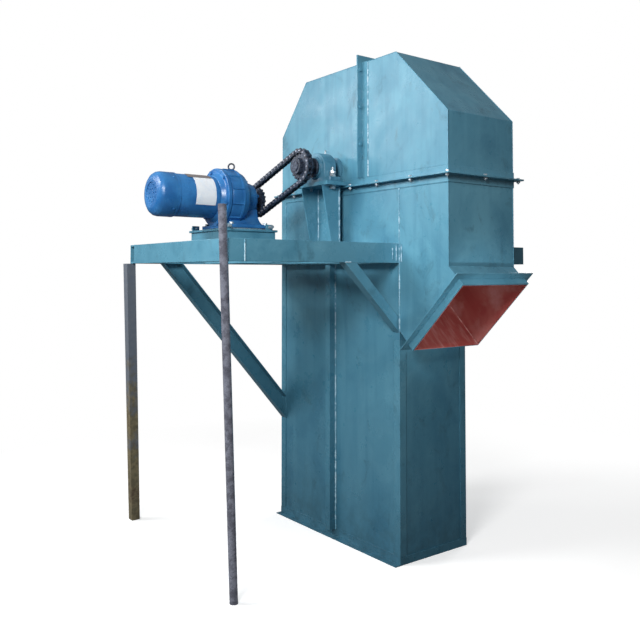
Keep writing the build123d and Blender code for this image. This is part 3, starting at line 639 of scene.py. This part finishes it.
@dataclass
class Casing(Assembly):
    """Casing, hood and chute: plates with softened edges, flange bolts and weld beads."""

    half_length: float = 0.530
    half_width: float = 0.240
    joint: float = 1.950
    head_reach: float = 0.870
    hood_top: float = 2.620
    leg: float = 0.040
    wall: float = 0.004
    bolt_out: float = 0.023
    seam: float = 0.242
    seam_pitch: float = 0.203
    roof_pitch: float = 0.15
    plates: tuple[str, ...] = (
        "casing_sides", "casing_left", "casing_right", "chute_sides", "head_end",
        "hood_left_sides", "hood_left_cover", "hood_right_sides", "hood_right_cover",
    )
    angles: tuple[str, ...] = (
        "corner_angles", "face_stiffeners", "foot_frame", "joint_ring_lower", "joint_ring_upper",
        "hood_seam_left", "hood_seam_right", "chute_flange",
    )
    bolts: Bolting = field(default_factory=Bolting)
    welds: Welding = field(default_factory=Welding)

    def build(self) -> None:
        """Build every piece of the casing."""
        for node in self.plates:
            self.softened(node, Surface.CASING, 0.0009)
        for node in self.angles:
            self.softened(node, Surface.FRAME, 0.0009)
        self.softened("chute_floor", Surface.PRIMER, 0.0009)
        self.linings()
        self.joint_bolts()
        self.seam_bolts()
        self.seams()
        self.shaft_seals()

    def linings(self) -> None:
        """Red primer on the chute's inner faces, as thin skins on the plates."""
        bm = bmesh.new()
        skin = 0.0006
        inner = self.half_width - 0.005
        outline = ((0.405, 1.3190), (0.6335, 1.0905), (0.9545, 1.4115), (0.8655, 1.5005),
                   (0.8655, 1.9), (0.405, 1.9))
        for side in SIDES:
            y = side * (inner - skin / 2)
            bm.faces.new([bm.verts.new((x, y, z)) for x, z in outline])
        upper, bend, tip = (0.8646, 1.9), (0.8646, 1.5004), (0.9535, 1.4115)
        for a, b in ((upper, bend), (bend, tip)):
            rim = ((a, -inner), (a, inner), (b, inner), (b, -inner))
            bm.faces.new([bm.verts.new((x, y, z)) for (x, z), y in rim])
        bmesh.ops.solidify(bm, geom=bm.faces[:], thickness=skin)
        self.publish("chute_lining", bm, Surface.PRIMER)
        beads = bmesh.new()
        for side in SIDES:
            self.welds.path(beads, side * 0.2335, 0.006, (0.407, 1.3185), (0.631, 1.0945))
        self.publish("chute_inner_beads", beads, Surface.RED_BEAD, smooth=60)

    def joint_bolts(self) -> None:
        """Bolts along the joint between the casing and the hood."""
        z, out = self.joint + self.wall, self.bolt_out
        places = [(x, side * (self.half_width + out), z) for side in SIDES
                  for x in (-self.half_length - 0.012, -0.374, 0.162, 0.382, 0.635,
                            self.head_reach + 0.016)]
        places += [(-self.half_length - out, 0.0, z), (self.head_reach + out, 0.0, z)]
        self.flange_bolts("joint_bolts", places, UP, 3, Surface.ZINC)

    def seam_bolts(self) -> None:
        """Painted bolts up the hood's seam and over its roof."""
        x, out = self.seam + self.wall, self.bolt_out
        places = [(x, side * (self.half_width + out), self.hood_top - 0.042 - i * self.seam_pitch)
                  for side in SIDES for i in range(3)]
        places += [(x, (i - 1) * self.roof_pitch, self.hood_top + out) for i in range(3)]
        self.flange_bolts("hood_seam_bolts", places, RIGHT, 5, Surface.FRAME)

    def flange_bolts(self, name: str, places: list[Point], axis: Point, seed: int,
                     surface: Surface) -> None:
        """Publish bolts through two flanges, each hexagon turned at random."""
        bm, draw = bmesh.new(), random.Random(seed)
        for at in places:
            self.bolts.bolt(bm, at, axis, draw.uniform(0, 1), 2 * self.wall)
        self.publish(name, bm, surface, smooth=30)

    def seams(self) -> None:
        """Weld beads where sheets meet: some with painted highlights, the rest thin and painted
        over.
        """
        glint_beads, painted, path = bmesh.new(), bmesh.new(), self.welds.path
        left, right, reach, leg = -self.half_length, self.half_length, self.head_reach, self.leg
        top, low = self.joint - leg - 0.002, self.joint + leg + 0.002
        middle_x, seam_x = 0.003, self.seam + 0.046
        inner_left, inner_right = left + leg + 0.002, right - leg - 0.002
        roof = ((left, low), (left, 2.320), (-0.280, self.hood_top),
                (self.seam - 0.042, self.hood_top))
        slope = ((self.seam + 0.042, self.hood_top), (0.510, self.hood_top), (reach, 2.255),
                 (reach, low))
        for side in SIDES:
            y = side * (self.half_width + 0.0005)
            path(glint_beads, y, 0.008, (right, 1.19), (right, top))
            path(glint_beads, y, 0.009, (middle_x, leg), (middle_x, 1.523))
            path(glint_beads, y, 0.009, (middle_x, 1.627), (middle_x, top))
            path(glint_beads, y, 0.008, (seam_x, self.joint + leg + 0.004),
                 (seam_x, self.hood_top - 0.004))
            path(painted, y, 0.006, (inner_left, leg), (inner_left, top))
            path(painted, y, 0.006, (inner_right, leg), (inner_right, 1.12))
            path(painted, y, 0.005, (left, leg + 0.002), (right, leg + 0.002))
            path(painted, y, 0.004, (left, top), (reach, top))
            path(painted, y, 0.004, (left, low), (reach, low))
            for edge in (roof, slope, ((reach, top), (reach, 1.500))):
                path(painted, y - side * 0.001, 0.004, *edge)
            path(painted, y, 0.005, (0.5295, 1.1855), (0.610, 1.105))
        self.publish("casing_weld_beads", glint_beads, Surface.WELD, smooth=60)
        self.publish("casing_painted_beads", painted, Surface.CASING, smooth=60)

    def shaft_seals(self) -> None:
        """Round seal plates where the shaft leaves the hood."""
        bm = bmesh.new()
        shaft = shaft_end("head_shaft")[1]
        profile = ((0.0365, 0.0), (0.070, 0.0), (0.070, 0.006), (0.050, 0.009),
                   (0.050, 0.016), (0.0365, 0.016))
        for side in SIDES:
            centre = (0, side * (self.half_width + 0.0015), shaft)
            ring(bm, centre, [(radius, side * along) for radius, along in profile], 48)
        self.publish("shaft_seal_plates", bm, Surface.SEAL)


@dataclass
class Platform(Assembly):
    """Platform channels, braces and props."""

    top: float = 1.625
    bead_width: float = 0.007
    beams: tuple[str, ...] = (
        "platform_side_beams", "platform_cross_beams", "motor_cross_beams", "rear_side_beams",
        "rear_cross_beams", "brace_near", "brace_far", "rear_braces",
    )
    welds: Welding = field(default_factory=lambda: Welding(seed=21))

    def build(self) -> None:
        """Build every piece of the platform."""
        for node in self.beams:
            self.softened(node, Surface.FRAME, 0.0012)
        self.softened("pipe_prop", Surface.PIPE, 0.0006, 1)
        self.softened("corner_post", Surface.POST, 0.0012)
        self.joints()

    def joints(self) -> None:
        """Weld beads where the channels meet and where the braces land."""
        bm, bead, path, width = bmesh.new(), self.welds.bead, self.welds.path, self.bead_width
        top, inner, outer, skin = self.top - 0.001, 0.482, 0.530, 0.5303
        for side in SIDES:
            x = side * 0.5304
            path(bm, -1.160, 0.0075, (x, 1.526), (x, top))
        for x in (-inner, inner):
            for start, end in ((-1.239, -1.193), (-0.291, -0.245), (0.245, 0.291), (0.713, 0.759)):
                bead(bm, (x, start, top), (x, end, top), 0.005)
        for side in SIDES:
            y = side * 0.2415
            for x in (inner, outer):
                path(bm, y, width, (x, 1.527), (x, 1.623))
            path(bm, y, width, (inner, self.top), (outer, self.top))
            path(bm, y, width, (skin, 1.170), (skin, 1.238))
            bead(bm, (skin, side * 0.560, 1.526), (skin, side * 0.596, 1.526), width)
            for x, reach, low, high in ((0.5304, 0.262, 1.535, 1.618),
                                        (0.5304, 0.288, 1.545, 1.600),
                                        (0.5450, 0.2415, 1.530, 1.622)):
                path(bm, side * reach, width, (x, low), (x, high))
        self.publish("platform_weld_beads", bm, Surface.WELD, smooth=60)


@dataclass
class Bearings(Assembly):
    """Pillow blocks on their brackets, with foot bolts and grease nipples."""

    stand_off: float = 0.340
    seat: float = 1.9756
    bolt_x: float = 0.105
    body_radius: float = 0.084
    foot: float = 0.027
    seat_plate: float = 0.020
    stud: float = 0.052
    stud_radius: float = 0.0095
    stud_tip: float = 0.0088
    nut: float = 0.015
    nut_step: float = 0.0185
    lock_nut: float = 0.010
    collar_out: float = 0.0555
    bolts: Bolting = field(default_factory=lambda: Bolting(
        thread=0.020, across=0.030, washer=0.037, washer_depth=0.003))
    welds: Welding = field(default_factory=lambda: Welding(seed=31))

    def __post_init__(self) -> None:
        """Take the shaft's height from the frame."""
        self.shaft = shaft_end("head_shaft")[1]

    def build(self) -> None:
        """Build the bearings and brackets."""
        self.softened("bearing_brackets", Surface.FRAME, 0.0012)
        self.softened("bearing_blocks", Surface.SEAL, 0.0035, 3)
        self.foot_bolts()
        self.nipples()
        self.locking_collars()
        self.bracket_welds()

    def foot_bolts(self) -> None:
        """Studs with double nuts through the feet and the seat plates."""
        bm, top, under = bmesh.new(), self.seat + self.foot, self.seat - self.seat_plate
        for side in SIDES:
            y = side * self.stand_off
            for x in (-self.bolt_x, self.bolt_x):
                self.bolts.stack(bm, place((x, y, top)), 0.3 * side + x, self.nut)
                lock = place((x, y, top + self.nut_step))
                self.bolts.stack(bm, lock, 0.9 * side + x, self.lock_nut)
                at = Matrix.Translation((x, y, top + self.stud / 2))
                cylinder(bm, at, self.stud_radius, self.stud, 16, self.stud_tip)
                self.bolts.stack(bm, place((x, y, under), DOWN), 0.2, self.nut)
        self.publish("bearing_bolts", bm, Surface.ZINC, smooth=30)

    def nipples(self) -> None:
        """Grease nipples on top of the blocks."""
        bm, base = bmesh.new(), self.shaft + self.body_radius - 0.0005
        for side in SIDES:
            y = side * (self.stand_off - 0.030)
            for radius, tip, low, high, segments in (
                (0.008, 0.008, 0.0, 0.008, 6), (0.005, 0.005, 0.008, 0.016, 14),
                (0.0062, 0.003, 0.016, 0.024, 14),
            ):
                at = Matrix.Translation((0, y, base + (low + high) / 2))
                cylinder(bm, at, radius, high - low, segments, tip)
        self.publish("grease_nipples", bm, Surface.ZINC)

    def locking_collars(self) -> None:
        """Collars on the shaft at each block's outer face, turning with the shaft."""
        bm = bmesh.new()
        profile = ((0.0352, 0.0), (0.052, 0.0), (0.0535, 0.0015), (0.0535, 0.0105),
                   (0.052, 0.012), (0.0352, 0.012))
        for side in SIDES:
            centre = (0, side * (self.stand_off + self.collar_out), self.shaft)
            ring(bm, centre, [(radius, side * along) for radius, along in profile], 48)
        self.publish("shaft_collars", bm, Surface.SHAFT, Body.HEAD)

    def bracket_welds(self) -> None:
        """Thick beads along the gussets and under the seat plates."""
        bm, seat_z = bmesh.new(), 1.9545
        for side in SIDES:
            for x in (-0.1005, -0.0915, 0.0915, 0.1010):
                self.welds.path(bm, side * 0.2905, 0.009, (x, 1.628), (x, 1.950))
            for x in (-0.1005, 0.1005):
                ends = [(x, side * y, seat_z) for y in (0.292, 0.402)]
                self.welds.bead(bm, *ends, 0.006)
            self.welds.path(bm, side * 0.291, 0.006, (-0.095, 1.6265), (0.095, 1.6265))
        self.publish("bracket_weld_beads", bm, Surface.WELD, smooth=60)


@dataclass
class ChainDrive(Assembly):
    """Roller chain, sprockets, shafts, pulley and keys."""

    pitch: float = 0.03175
    head_teeth: int = 17
    motor_teeth: int = 17
    links: int = 46
    roller: float = 0.0095
    inner_half: float = 0.0095
    plate: float = 0.0040
    pin: float = 0.0048
    pin_reach: float = 0.0030
    inner_height: float = 0.0300
    outer_height: float = 0.0260
    waist: float = 0.80
    gap: float = 0.0002
    arc: int = 8
    arc_reach: float = 78.0

    def __post_init__(self) -> None:
        """Work out the pitch circles, and take the shafts' places from the frame."""
        self.head = shaft_end("head_shaft")
        self.motor = shaft_end("output_shaft")
        self.plane = middle("drive_chain").y
        self.drop = self.head[1] - self.motor[1]
        self.head_radius = self.pitch / 2 / math.sin(math.pi / self.head_teeth)
        self.motor_radius = self.pitch / 2 / math.sin(math.pi / self.motor_teeth)
        self.span = math.hypot(self.motor[0] - self.head[0], self.drop)

    def build(self) -> None:
        """Build the chain and dress the wheels and shafts."""
        self.chain()
        self.softened("head_sprocket", Surface.OILED, 0.0010, 2, Body.HEAD)
        self.softened("motor_sprocket", Surface.OILED, 0.0010, 2, Body.MOTOR)
        self.softened("head_shaft", Surface.SHAFT, 0.0020, 2, Body.HEAD)
        self.softened("output_shaft", Surface.SHAFT, 0.0015, 2, Body.MOTOR)
        self.softened("head_pulley", Surface.OILED, 0.0015, 2, Body.HEAD)
        self.hub_keys()

    def joint_points(self) -> list[Flat]:
        """Places of the chain's joints round the loop, as (x, z)."""
        line = math.atan2(self.drop, -self.motor[0])
        change = math.asin((self.head_radius - self.motor_radius) / self.span)
        straight = self.span * math.cos(change)
        head_wrap = (math.pi + 2 * change) * self.head_radius
        motor_wrap = (math.pi - 2 * change) * self.motor_radius
        loop = head_wrap + motor_wrap + 2 * straight
        upper, lower = line + math.pi / 2 + change, line - math.pi / 2 - change

        head, motor = (self.head, self.head_radius), (self.motor, self.motor_radius)

        def on(wheel: tuple[Flat, float], angle: float) -> Vector:
            """Point on a wheel's pitch circle."""
            centre, radius = wheel
            return Vector(centre) + Vector((math.cos(angle), math.sin(angle))) * radius

        points = []
        for i in range(self.links):
            run = loop * i / self.links
            if run < straight:
                point = on(motor, upper).lerp(on(head, upper), run / straight)
            elif run < straight + head_wrap:
                point = on(head, upper - (run - straight) / self.head_radius)
            elif run < 2 * straight + head_wrap:
                share = (run - straight - head_wrap) / straight
                point = on(head, lower).lerp(on(motor, lower), share)
            else:
                rest = run - 2 * straight - head_wrap
                point = on(motor, lower - rest / self.motor_radius)
            points.append((point.x, point.y))
        return points

    def link_plate(self, bm: Mesh, a: Flat, b: Flat, height: float, low: float,
                   high: float) -> None:
        """Add a waisted link plate between two joints.

        Args:
            bm: mesh that takes the plate.
            a: first joint.
            b: second joint.
            height: the plate's height at its ends.
            low: depth of its front face.
            high: depth of its back face.
        """
        ax, bx = Vector((a[0], 0, a[1])), Vector((b[0], 0, b[1]))
        along = (bx - ax).normalized()
        across = Vector((-along.z, 0, along.x))
        radius = height / 2
        outline = []
        for centre, turn, side in ((ax, 180, -1), (bx, 0, 1)):
            for i in range(self.arc + 1):
                angle = math.radians(turn - self.arc_reach + 2 * self.arc_reach * i / self.arc)
                outline.append(centre + along * (radius * math.cos(angle))
                               + across * (radius * math.sin(angle)))
            outline.append((ax + bx) / 2 + across * (side * radius * self.waist))
        face = bm.faces.new([bm.verts.new((p.x, self.plane + low, p.z)) for p in outline])
        grown = bmesh.ops.extrude_face_region(bm, geom=[face])["geom"]
        moved = [g for g in grown if isinstance(g, bmesh.types.BMVert)]
        bmesh.ops.translate(bm, verts=moved, vec=(0, high - low, 0))

    def chain(self) -> None:
        """Build the whole loop of inner links, outer links, rollers and pins."""
        bm, pins, points = bmesh.new(), bmesh.new(), self.joint_points()
        for i, a in enumerate(points):
            b = points[(i + 1) % self.links]
            low, height = self.inner_half, self.inner_height
            if i % 2:
                low, height = self.inner_half + self.plate + self.gap, self.outer_height
            for side in SIDES:
                self.link_plate(bm, a, b, height, side * low, side * (low + self.plate))
        reach = self.inner_half + 2 * self.plate + self.gap + self.pin_reach
        for x, z in points:
            at = place((x, self.plane, z), BACK)
            cylinder(bm, at, self.roller, 2 * (self.inner_half - self.gap), 14)
            cylinder(pins, at, self.pin, 2 * reach, 12)
        piece = self.publish("roller_chain", bm, Surface.OILED, smooth=35)
        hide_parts("drive_chain")
        # The pins' lighter finish is partly a painted highlight on the links.
        self.publish("chain_pins", pins, Surface.PIN, smooth=35)

    def hub_keys(self) -> None:
        """Keys and grub screws in the sprocket hubs."""
        for name, (x, z), shaft_radius, hub, body, depth in (
            ("head_hub_key", self.head, 0.030, 0.046, Body.HEAD, 0.0705),
            ("motor_hub_key", self.motor, 0.0225, 0.040, Body.MOTOR, 0.0565),
        ):
            bm = bmesh.new()
            size = (shaft_radius * 0.42, depth, shaft_radius * 0.40)
            block(bm, (x, self.plane, z + shaft_radius), size)
            at = place((x + hub, self.plane - depth / 2 + 0.012, z), RIGHT)
            cylinder(bm, at, 0.005, 0.006, 12)
            self.publish(name, bm, Surface.SHAFT, body)


@dataclass
class Gearmotor(Assembly):
    """Gearmotor on its base: castings, bolts, eye, tension screws and the bare paper."""

    ring_front: float = -0.627
    ring_back: float = -0.777
    ring_radius: float = 0.165
    motor_end: float = -1.052
    motor_radius: float = 0.119
    cowl_radius: float = 0.123
    base_top: float = 1.720
    mid: float = -0.635
    packing: float = 0.010
    foot: float = 0.018
    foot_hole: Flat = (0.138, 0.112)
    foot_grip: float = 0.040
    ring_circle: float = 0.128
    cover_circle: float = 0.068
    cover_face: float = -0.535
    lug: Point = (0.008, 0.045, 0.030)
    lug_out: float = 0.1835
    lug_rows: Flat = (-0.165, 0.110)
    screw_rise: float = 0.016
    eye_y: float = -0.668
    eye_turn: float = 48.0
    crease: float = 0.0012
    ring_bolts: Bolting = field(default_factory=lambda: Bolting(
        across=0.018, head=0.0075, washer=0.022, washer_depth=0.002))
    foot_bolts: Bolting = field(default_factory=lambda: Bolting(
        thread=0.016, across=0.024, head=0.010, washer=0.030, washer_depth=0.003, tail=0.008))
    nuts: Bolting = field(default_factory=lambda: Bolting(
        across=0.017, washer=0.020, washer_depth=0.0016))

    def __post_init__(self) -> None:
        """Take the motor's axis from the frame."""
        self.x, self.z = shaft_end("output_shaft")

    def build(self) -> None:
        """Build every piece of the gearmotor."""
        for node in ("reducer_housing", "gear_ring", "motor_body", "reducer_foot"):
            self.softened(node, Surface.MOTOR, 0.0030, 3)
        self.softened("fan_cowl", Surface.MOTOR, 0.0012, 2)
        self.softened("terminal_box", Surface.MOTOR, 0.0030, 3)
        self.softened("motor_base", Surface.FRAME, 0.0012)
        self.softened("motor_base_plate", Surface.FRAME, 0.0015)
        self.softened("packing_plate", Surface.BRIGHT, 0.0008)
        self.ring_details()
        self.bands()
        self.lifting_eye()
        self.foot_fasteners()
        self.tension_screws()
        self.paper()

    def around(self, radius: float, angle: float, y: float) -> Point:
        """Point round the motor's axis; angle 0 is up, and grows towards +X."""
        return (self.x + radius * math.sin(angle), y, self.z + radius * math.cos(angle))

    def ring_details(self) -> None:
        """Bands, tie rods and bolts round the gear ring and on the output cover."""
        rods, bolts, bands, cover = bmesh.new(), bmesh.new(), bmesh.new(), bmesh.new()
        rear, front = self.ring_back + 0.022, self.ring_front - 0.042
        for i in range(12):
            angle = math.radians(15 + 30 * i)
            at = place(self.around(self.ring_radius + 0.0005, angle, (rear + front) / 2), BACK)
            cylinder(rods, at, 0.0058, front - rear - 0.012, 12)
            if i % 2:
                at = self.around(self.ring_radius - 0.0135, angle, self.ring_back)
                self.ring_bolts.bolt(bolts, at, (0, -1, 0), 0.3 * i)
                at = self.around(self.ring_circle, angle, self.ring_front)
                self.ring_bolts.bolt(bolts, at, BACK, 0.2 * i)
        inner, outer = self.ring_radius - 0.003, self.ring_radius + 0.003
        for low, high in ((self.ring_back + 0.001, self.ring_back + 0.021), (front - 0.014, front)):
            profile = [(inner, low), (outer, low + 0.001), (outer, high - 0.001), (inner, high)]
            ring(bands, (self.x, 0, self.z), profile, 96)
        for i in range(6):
            at = self.around(self.cover_circle, math.radians(60 * i + 15), self.cover_face)
            self.ring_bolts.bolt(cover, at, BACK, 0.2 * i)
        self.publish("gear_ring_rods", rods, Surface.MOTOR)
        self.publish("gear_ring_bands", bands, Surface.MOTOR)
        self.publish("gear_ring_bolts", bolts, Surface.MOTOR, smooth=30)
        self.publish("output_cover_bolts", cover, Surface.MOTOR, smooth=30)

    def bands(self) -> None:
        """Raised band where the cowl slides over the motor, with its screws."""
        bm, y = bmesh.new(), self.motor_end
        inner, outer = self.motor_radius - 0.002, self.cowl_radius + 0.0008
        profile = [(inner, 0.0), (outer, 0.0), (outer, -0.008), (inner, -0.008)]
        ring(bm, (self.x, y + 0.006, self.z), profile, 72)
        for i in range(4):
            angle = math.radians(45 + 90 * i)
            at = self.around(self.cowl_radius + 0.002, angle, y - 0.022)
            cylinder(bm, place(at, (math.sin(angle), 0, math.cos(angle))), 0.006, 0.005, 14, 0.004)
        self.publish("cowl_band", bm, Surface.MOTOR)

    def lifting_eye(self) -> None:
        """Eyebolt on top of the gear ring."""
        bm, y, foot = bmesh.new(), self.eye_y, self.z + self.ring_radius - 0.012
        for radius, low, high, segments in ((0.014, 0.0, 0.006, 20), (0.007, 0.006, 0.018, 16)):
            at = Matrix.Translation((self.x, y, foot + (low + high) / 2))
            cylinder(bm, at, radius, high - low, segments, radius * 0.92)
        centre = (self.x, y, foot + 0.034)
        wire = bmesh.ops.create_circle(bm, cap_ends=False, segments=14, radius=0.0048)["verts"]
        at = Matrix.Translation((self.x + 0.0175, y, centre[2]))
        bmesh.ops.transform(bm, matrix=at, verts=wire)
        loop = list({edge for vert in wire for edge in vert.link_edges})
        bmesh.ops.spin(bm, geom=wire + loop, cent=centre, axis=BACK, angle=2 * math.pi,
                       steps=40, use_merge=True, use_duplicate=False)
        eye = [vert for vert in bm.verts
               if vert.co.z > foot + 0.0115 and (vert.co - Vector(centre)).length < 0.03]
        turn = Matrix.Rotation(math.radians(self.eye_turn), 3, "Z")
        bmesh.ops.rotate(bm, cent=centre, matrix=turn, verts=eye)
        self.publish("lifting_eye", bm, Surface.OILED, smooth=60)

    def foot_fasteners(self) -> None:
        """Bolts that hold the foot to the base plate."""
        bm, z = bmesh.new(), self.base_top + self.packing + self.foot
        for sx in SIDES:
            for sy in SIDES:
                at = (self.x + sx * self.foot_hole[0], self.mid + sy * self.foot_hole[1], z)
                self.foot_bolts.bolt(bm, at, UP, 0.3 * sx + sy, self.foot_grip)
        self.publish("foot_bolts", bm, Surface.ZINC, smooth=30)

    def tension_screws(self) -> None:
        """Screws along X that push the gearmotor on its base to tighten the chain."""
        lugs, screws, lug = bmesh.new(), bmesh.new(), self.lug
        z = self.base_top + self.screw_rise
        for sx in SIDES:
            x = self.x + sx * self.lug_out
            for y in (self.mid + row for row in self.lug_rows):
                block(lugs, (x, y, self.base_top + lug[2] / 2), lug)
                cylinder(screws, place((x + sx * 0.008, y, z), RIGHT), 0.005, 0.052, 12)
                face, end = x + sx * lug[0] / 2, x + sx * 0.030
                self.nuts.stack(screws, place((face, y, z), (sx, 0, 0)), 0.3, 0.008)
                self.nuts.stack(screws, place((end, y, z), (sx, 0, 0)), 0.1, 0.007)
        round_edges(lugs, lugs.edges[:], 0.001, 1)
        self.publish("tension_lugs", lugs, Surface.FRAME)
        self.publish("tension_screws", screws, Surface.ZINC, smooth=30)

    def paper(self) -> None:
        """Bare paper wrapped round the motor's side, with a strip of tape above it."""
        for name, surface, low, high, y_low, y_high, lift in (
            ("paper_sheet", Surface.PAPER, 34, 118, -0.955, -0.828, 0.0016),
            ("paper_tape", Surface.TAPE, 12, 37, -0.988, -0.835, 0.0024),
        ):
            bm, draw, rows = bmesh.new(), random.Random(11), 10
            radius, angle = self.motor_radius + lift, math.radians(low)
            depths = [y_low + (y_high - y_low) * i / rows for i in range(rows + 1)]
            start = [bm.verts.new(self.around(radius, angle, y)) for y in depths]
            edges = [bm.edges.new(pair) for pair in zip(start, start[1:])]
            bmesh.ops.spin(bm, geom=start + edges, cent=(self.x, 0, self.z), axis=BACK,
                           angle=math.radians(high - low), steps=20, use_merge=False,
                           use_duplicate=False)
            for vert in bm.verts:
                out = Vector((vert.co.x - self.x, 0, vert.co.z - self.z)).normalized()
                vert.co += out * draw.uniform(0, self.crease)
            bmesh.ops.smooth_vert(bm, verts=bm.verts, factor=0.5, use_axis_x=True,
                                  use_axis_y=True, use_axis_z=True)
            bmesh.ops.recalc_face_normals(bm, faces=bm.faces)
            bmesh.ops.solidify(bm, geom=bm.faces[:], thickness=0.0005)
            self.publish(name, bm, surface)


@dataclass
class Studio:
    """Pale floor, soft lamps and the camera at the photograph's place."""

    eye: Point = (3.326, -2.860, 1.469)
    yaw: float = 52.942
    pitch: float = 1.993
    focal_px: float = 745.66
    image_px: float = 640.0
    centre_row: float = 247.98
    sensor: float = 36.0
    floor_reach: float = 1.9
    floor_bounce: float = 0.15
    floor_shade: float = 0.80
    floor_glow: float = 0.42
    ambient: float = 0.20
    spot_angle: float = 21.0
    spot_blend: float = 0.6
    spot_soft: float = 0.12

    def build(self) -> None:
        """Build the floor, world, lamps and camera."""
        self.floor()
        self.world()
        self.lamps()
        self.camera()

    def floor(self) -> None:
        """Wide pale floor that shows white to the camera but keeps a soft shadow."""
        bm = bmesh.new()
        bmesh.ops.create_grid(bm, x_segments=1, y_segments=1, size=30.0)
        mesh = bpy.data.meshes.new("floor")
        bm.to_mesh(mesh)
        bm.free()
        n = Nodes("pale_floor")
        seen = n.node("LightPath").outputs["Is Camera Ray"]
        n.bump((n.noise(30, 3, 0.5), 0.0004))
        shades = [(level, level, level) for level in (self.floor_bounce, self.floor_shade)]
        material = n.finish(n.mix(seen, *shades), 0.85)
        reach = n.node("VectorMath", {0: n.place}, operation="LENGTH").outputs["Value"]
        far = n.span(reach, self.floor_reach, self.floor_reach * 1.8)
        strength = n.span(seen, 0.0, 1.0, 0.0, self.floor_glow)
        glow = n.node("Emission", {"Color": WHITE, "Strength": strength}).outputs["Emission"]
        lit = n.node("AddShader", {0: n.shader.outputs["BSDF"], 1: glow}).outputs["Shader"]
        white = n.node("Emission", {"Color": WHITE}).outputs["Emission"]
        share = n.combine("MULTIPLY", far, seen)
        blend = n.node("MixShader", {"Fac": share, 1: lit, 2: white}).outputs["Shader"]
        n.feed(n.tree.nodes["Material Output"].inputs["Surface"], blend)
        mesh.materials.append(material)
        floor = add_object("floor", mesh)

    def world(self) -> None:
        """White surroundings: full white to the camera, dimmer as light."""
        world = bpy.data.worlds.new("studio")
        bpy.context.scene.world = world
        world.use_nodes = True
        tree = world.node_tree
        back = tree.nodes["Background"]
        path = tree.nodes.new("ShaderNodeLightPath")
        level = tree.nodes.new("ShaderNodeMapRange")
        level.inputs["To Min"].default_value = self.ambient
        level.inputs["To Max"].default_value = 1.0
        tree.links.new(path.outputs["Is Camera Ray"], level.inputs["Value"])
        tree.links.new(level.outputs["Result"], back.inputs["Strength"])
        back.inputs["Color"].default_value = WHITE

    def lamps(self) -> None:
        """Soft lamps: key and sheen from the left, fill, one behind, a spot into the mouth."""
        for name, at, aim, size, power in (
            ("key", (-1.8, -4.8, 4.6), (0.0, 0.0, 2.1), 2.2, 205.0),
            ("sheen", (-5.0, -4.8, 3.8), (0.2, -0.24, 2.3), 1.7, 55.0),
            ("fill", (2.5, -3.6, 3.2), (0.4, -0.6, 1.8), 1.4, 145.0),
            ("back", (-1.2, 5.4, 2.8), (0.0, 0.0, 1.4), 2.0, 100.0),
            ("mouth", (2.7, -0.55, 0.45), (0.72, 0.0, 1.30), 0.0, 100.0),
        ):
            lamp = bpy.data.lights.new(name, "AREA" if size else "SPOT")
            lamp.energy = power
            if size:
                lamp.shape = "DISK"
                lamp.size = size
            else:
                lamp.spot_size = math.radians(self.spot_angle)
                lamp.spot_blend, lamp.shadow_soft_size = self.spot_blend, self.spot_soft
            self.hang(name, lamp, at, Vector(aim) - Vector(at))

    def hang(self, name: str, data: bpy.types.Light | bpy.types.Camera, at: Point,
             look: Vector) -> bpy.types.Object:
        """Add a lamp or camera at a point, turned along a direction, and return its object."""
        holder = add_object(name, data)
        holder.location = at
        holder.rotation_mode = "QUATERNION"
        holder.rotation_quaternion = look.to_track_quat("-Z", "Y")
        return holder

    def camera(self) -> None:
        """Camera fitted to the photograph, with a small shift of its frame."""
        data = bpy.data.cameras.new("camera")
        data.sensor_width = self.sensor
        data.lens = self.sensor * self.focal_px / self.image_px
        data.shift_y = -(self.image_px / 2 - self.centre_row) / self.image_px
        data.clip_start, data.clip_end = 0.05, 200.0
        yaw, pitch = math.radians(self.yaw), math.radians(self.pitch)
        level = math.cos(pitch)
        look = Vector((-math.sin(yaw) * level, math.cos(yaw) * level, math.sin(pitch)))
        bpy.context.scene.camera = self.hang("camera", data, self.eye, look)
        bpy.context.scene.view_settings.view_transform = "Standard"


def main() -> None:
    """Build every sub-assembly in order."""
    logging.basicConfig(level=logging.INFO, format="%(message)s")
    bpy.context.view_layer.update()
    for assembly in (Casing(), Platform(), Bearings(), ChainDrive(), Gearmotor(), Studio()):
        log.info("building %s", type(assembly).__name__)
        assembly.build()


if __name__ == "__main__":
    main()
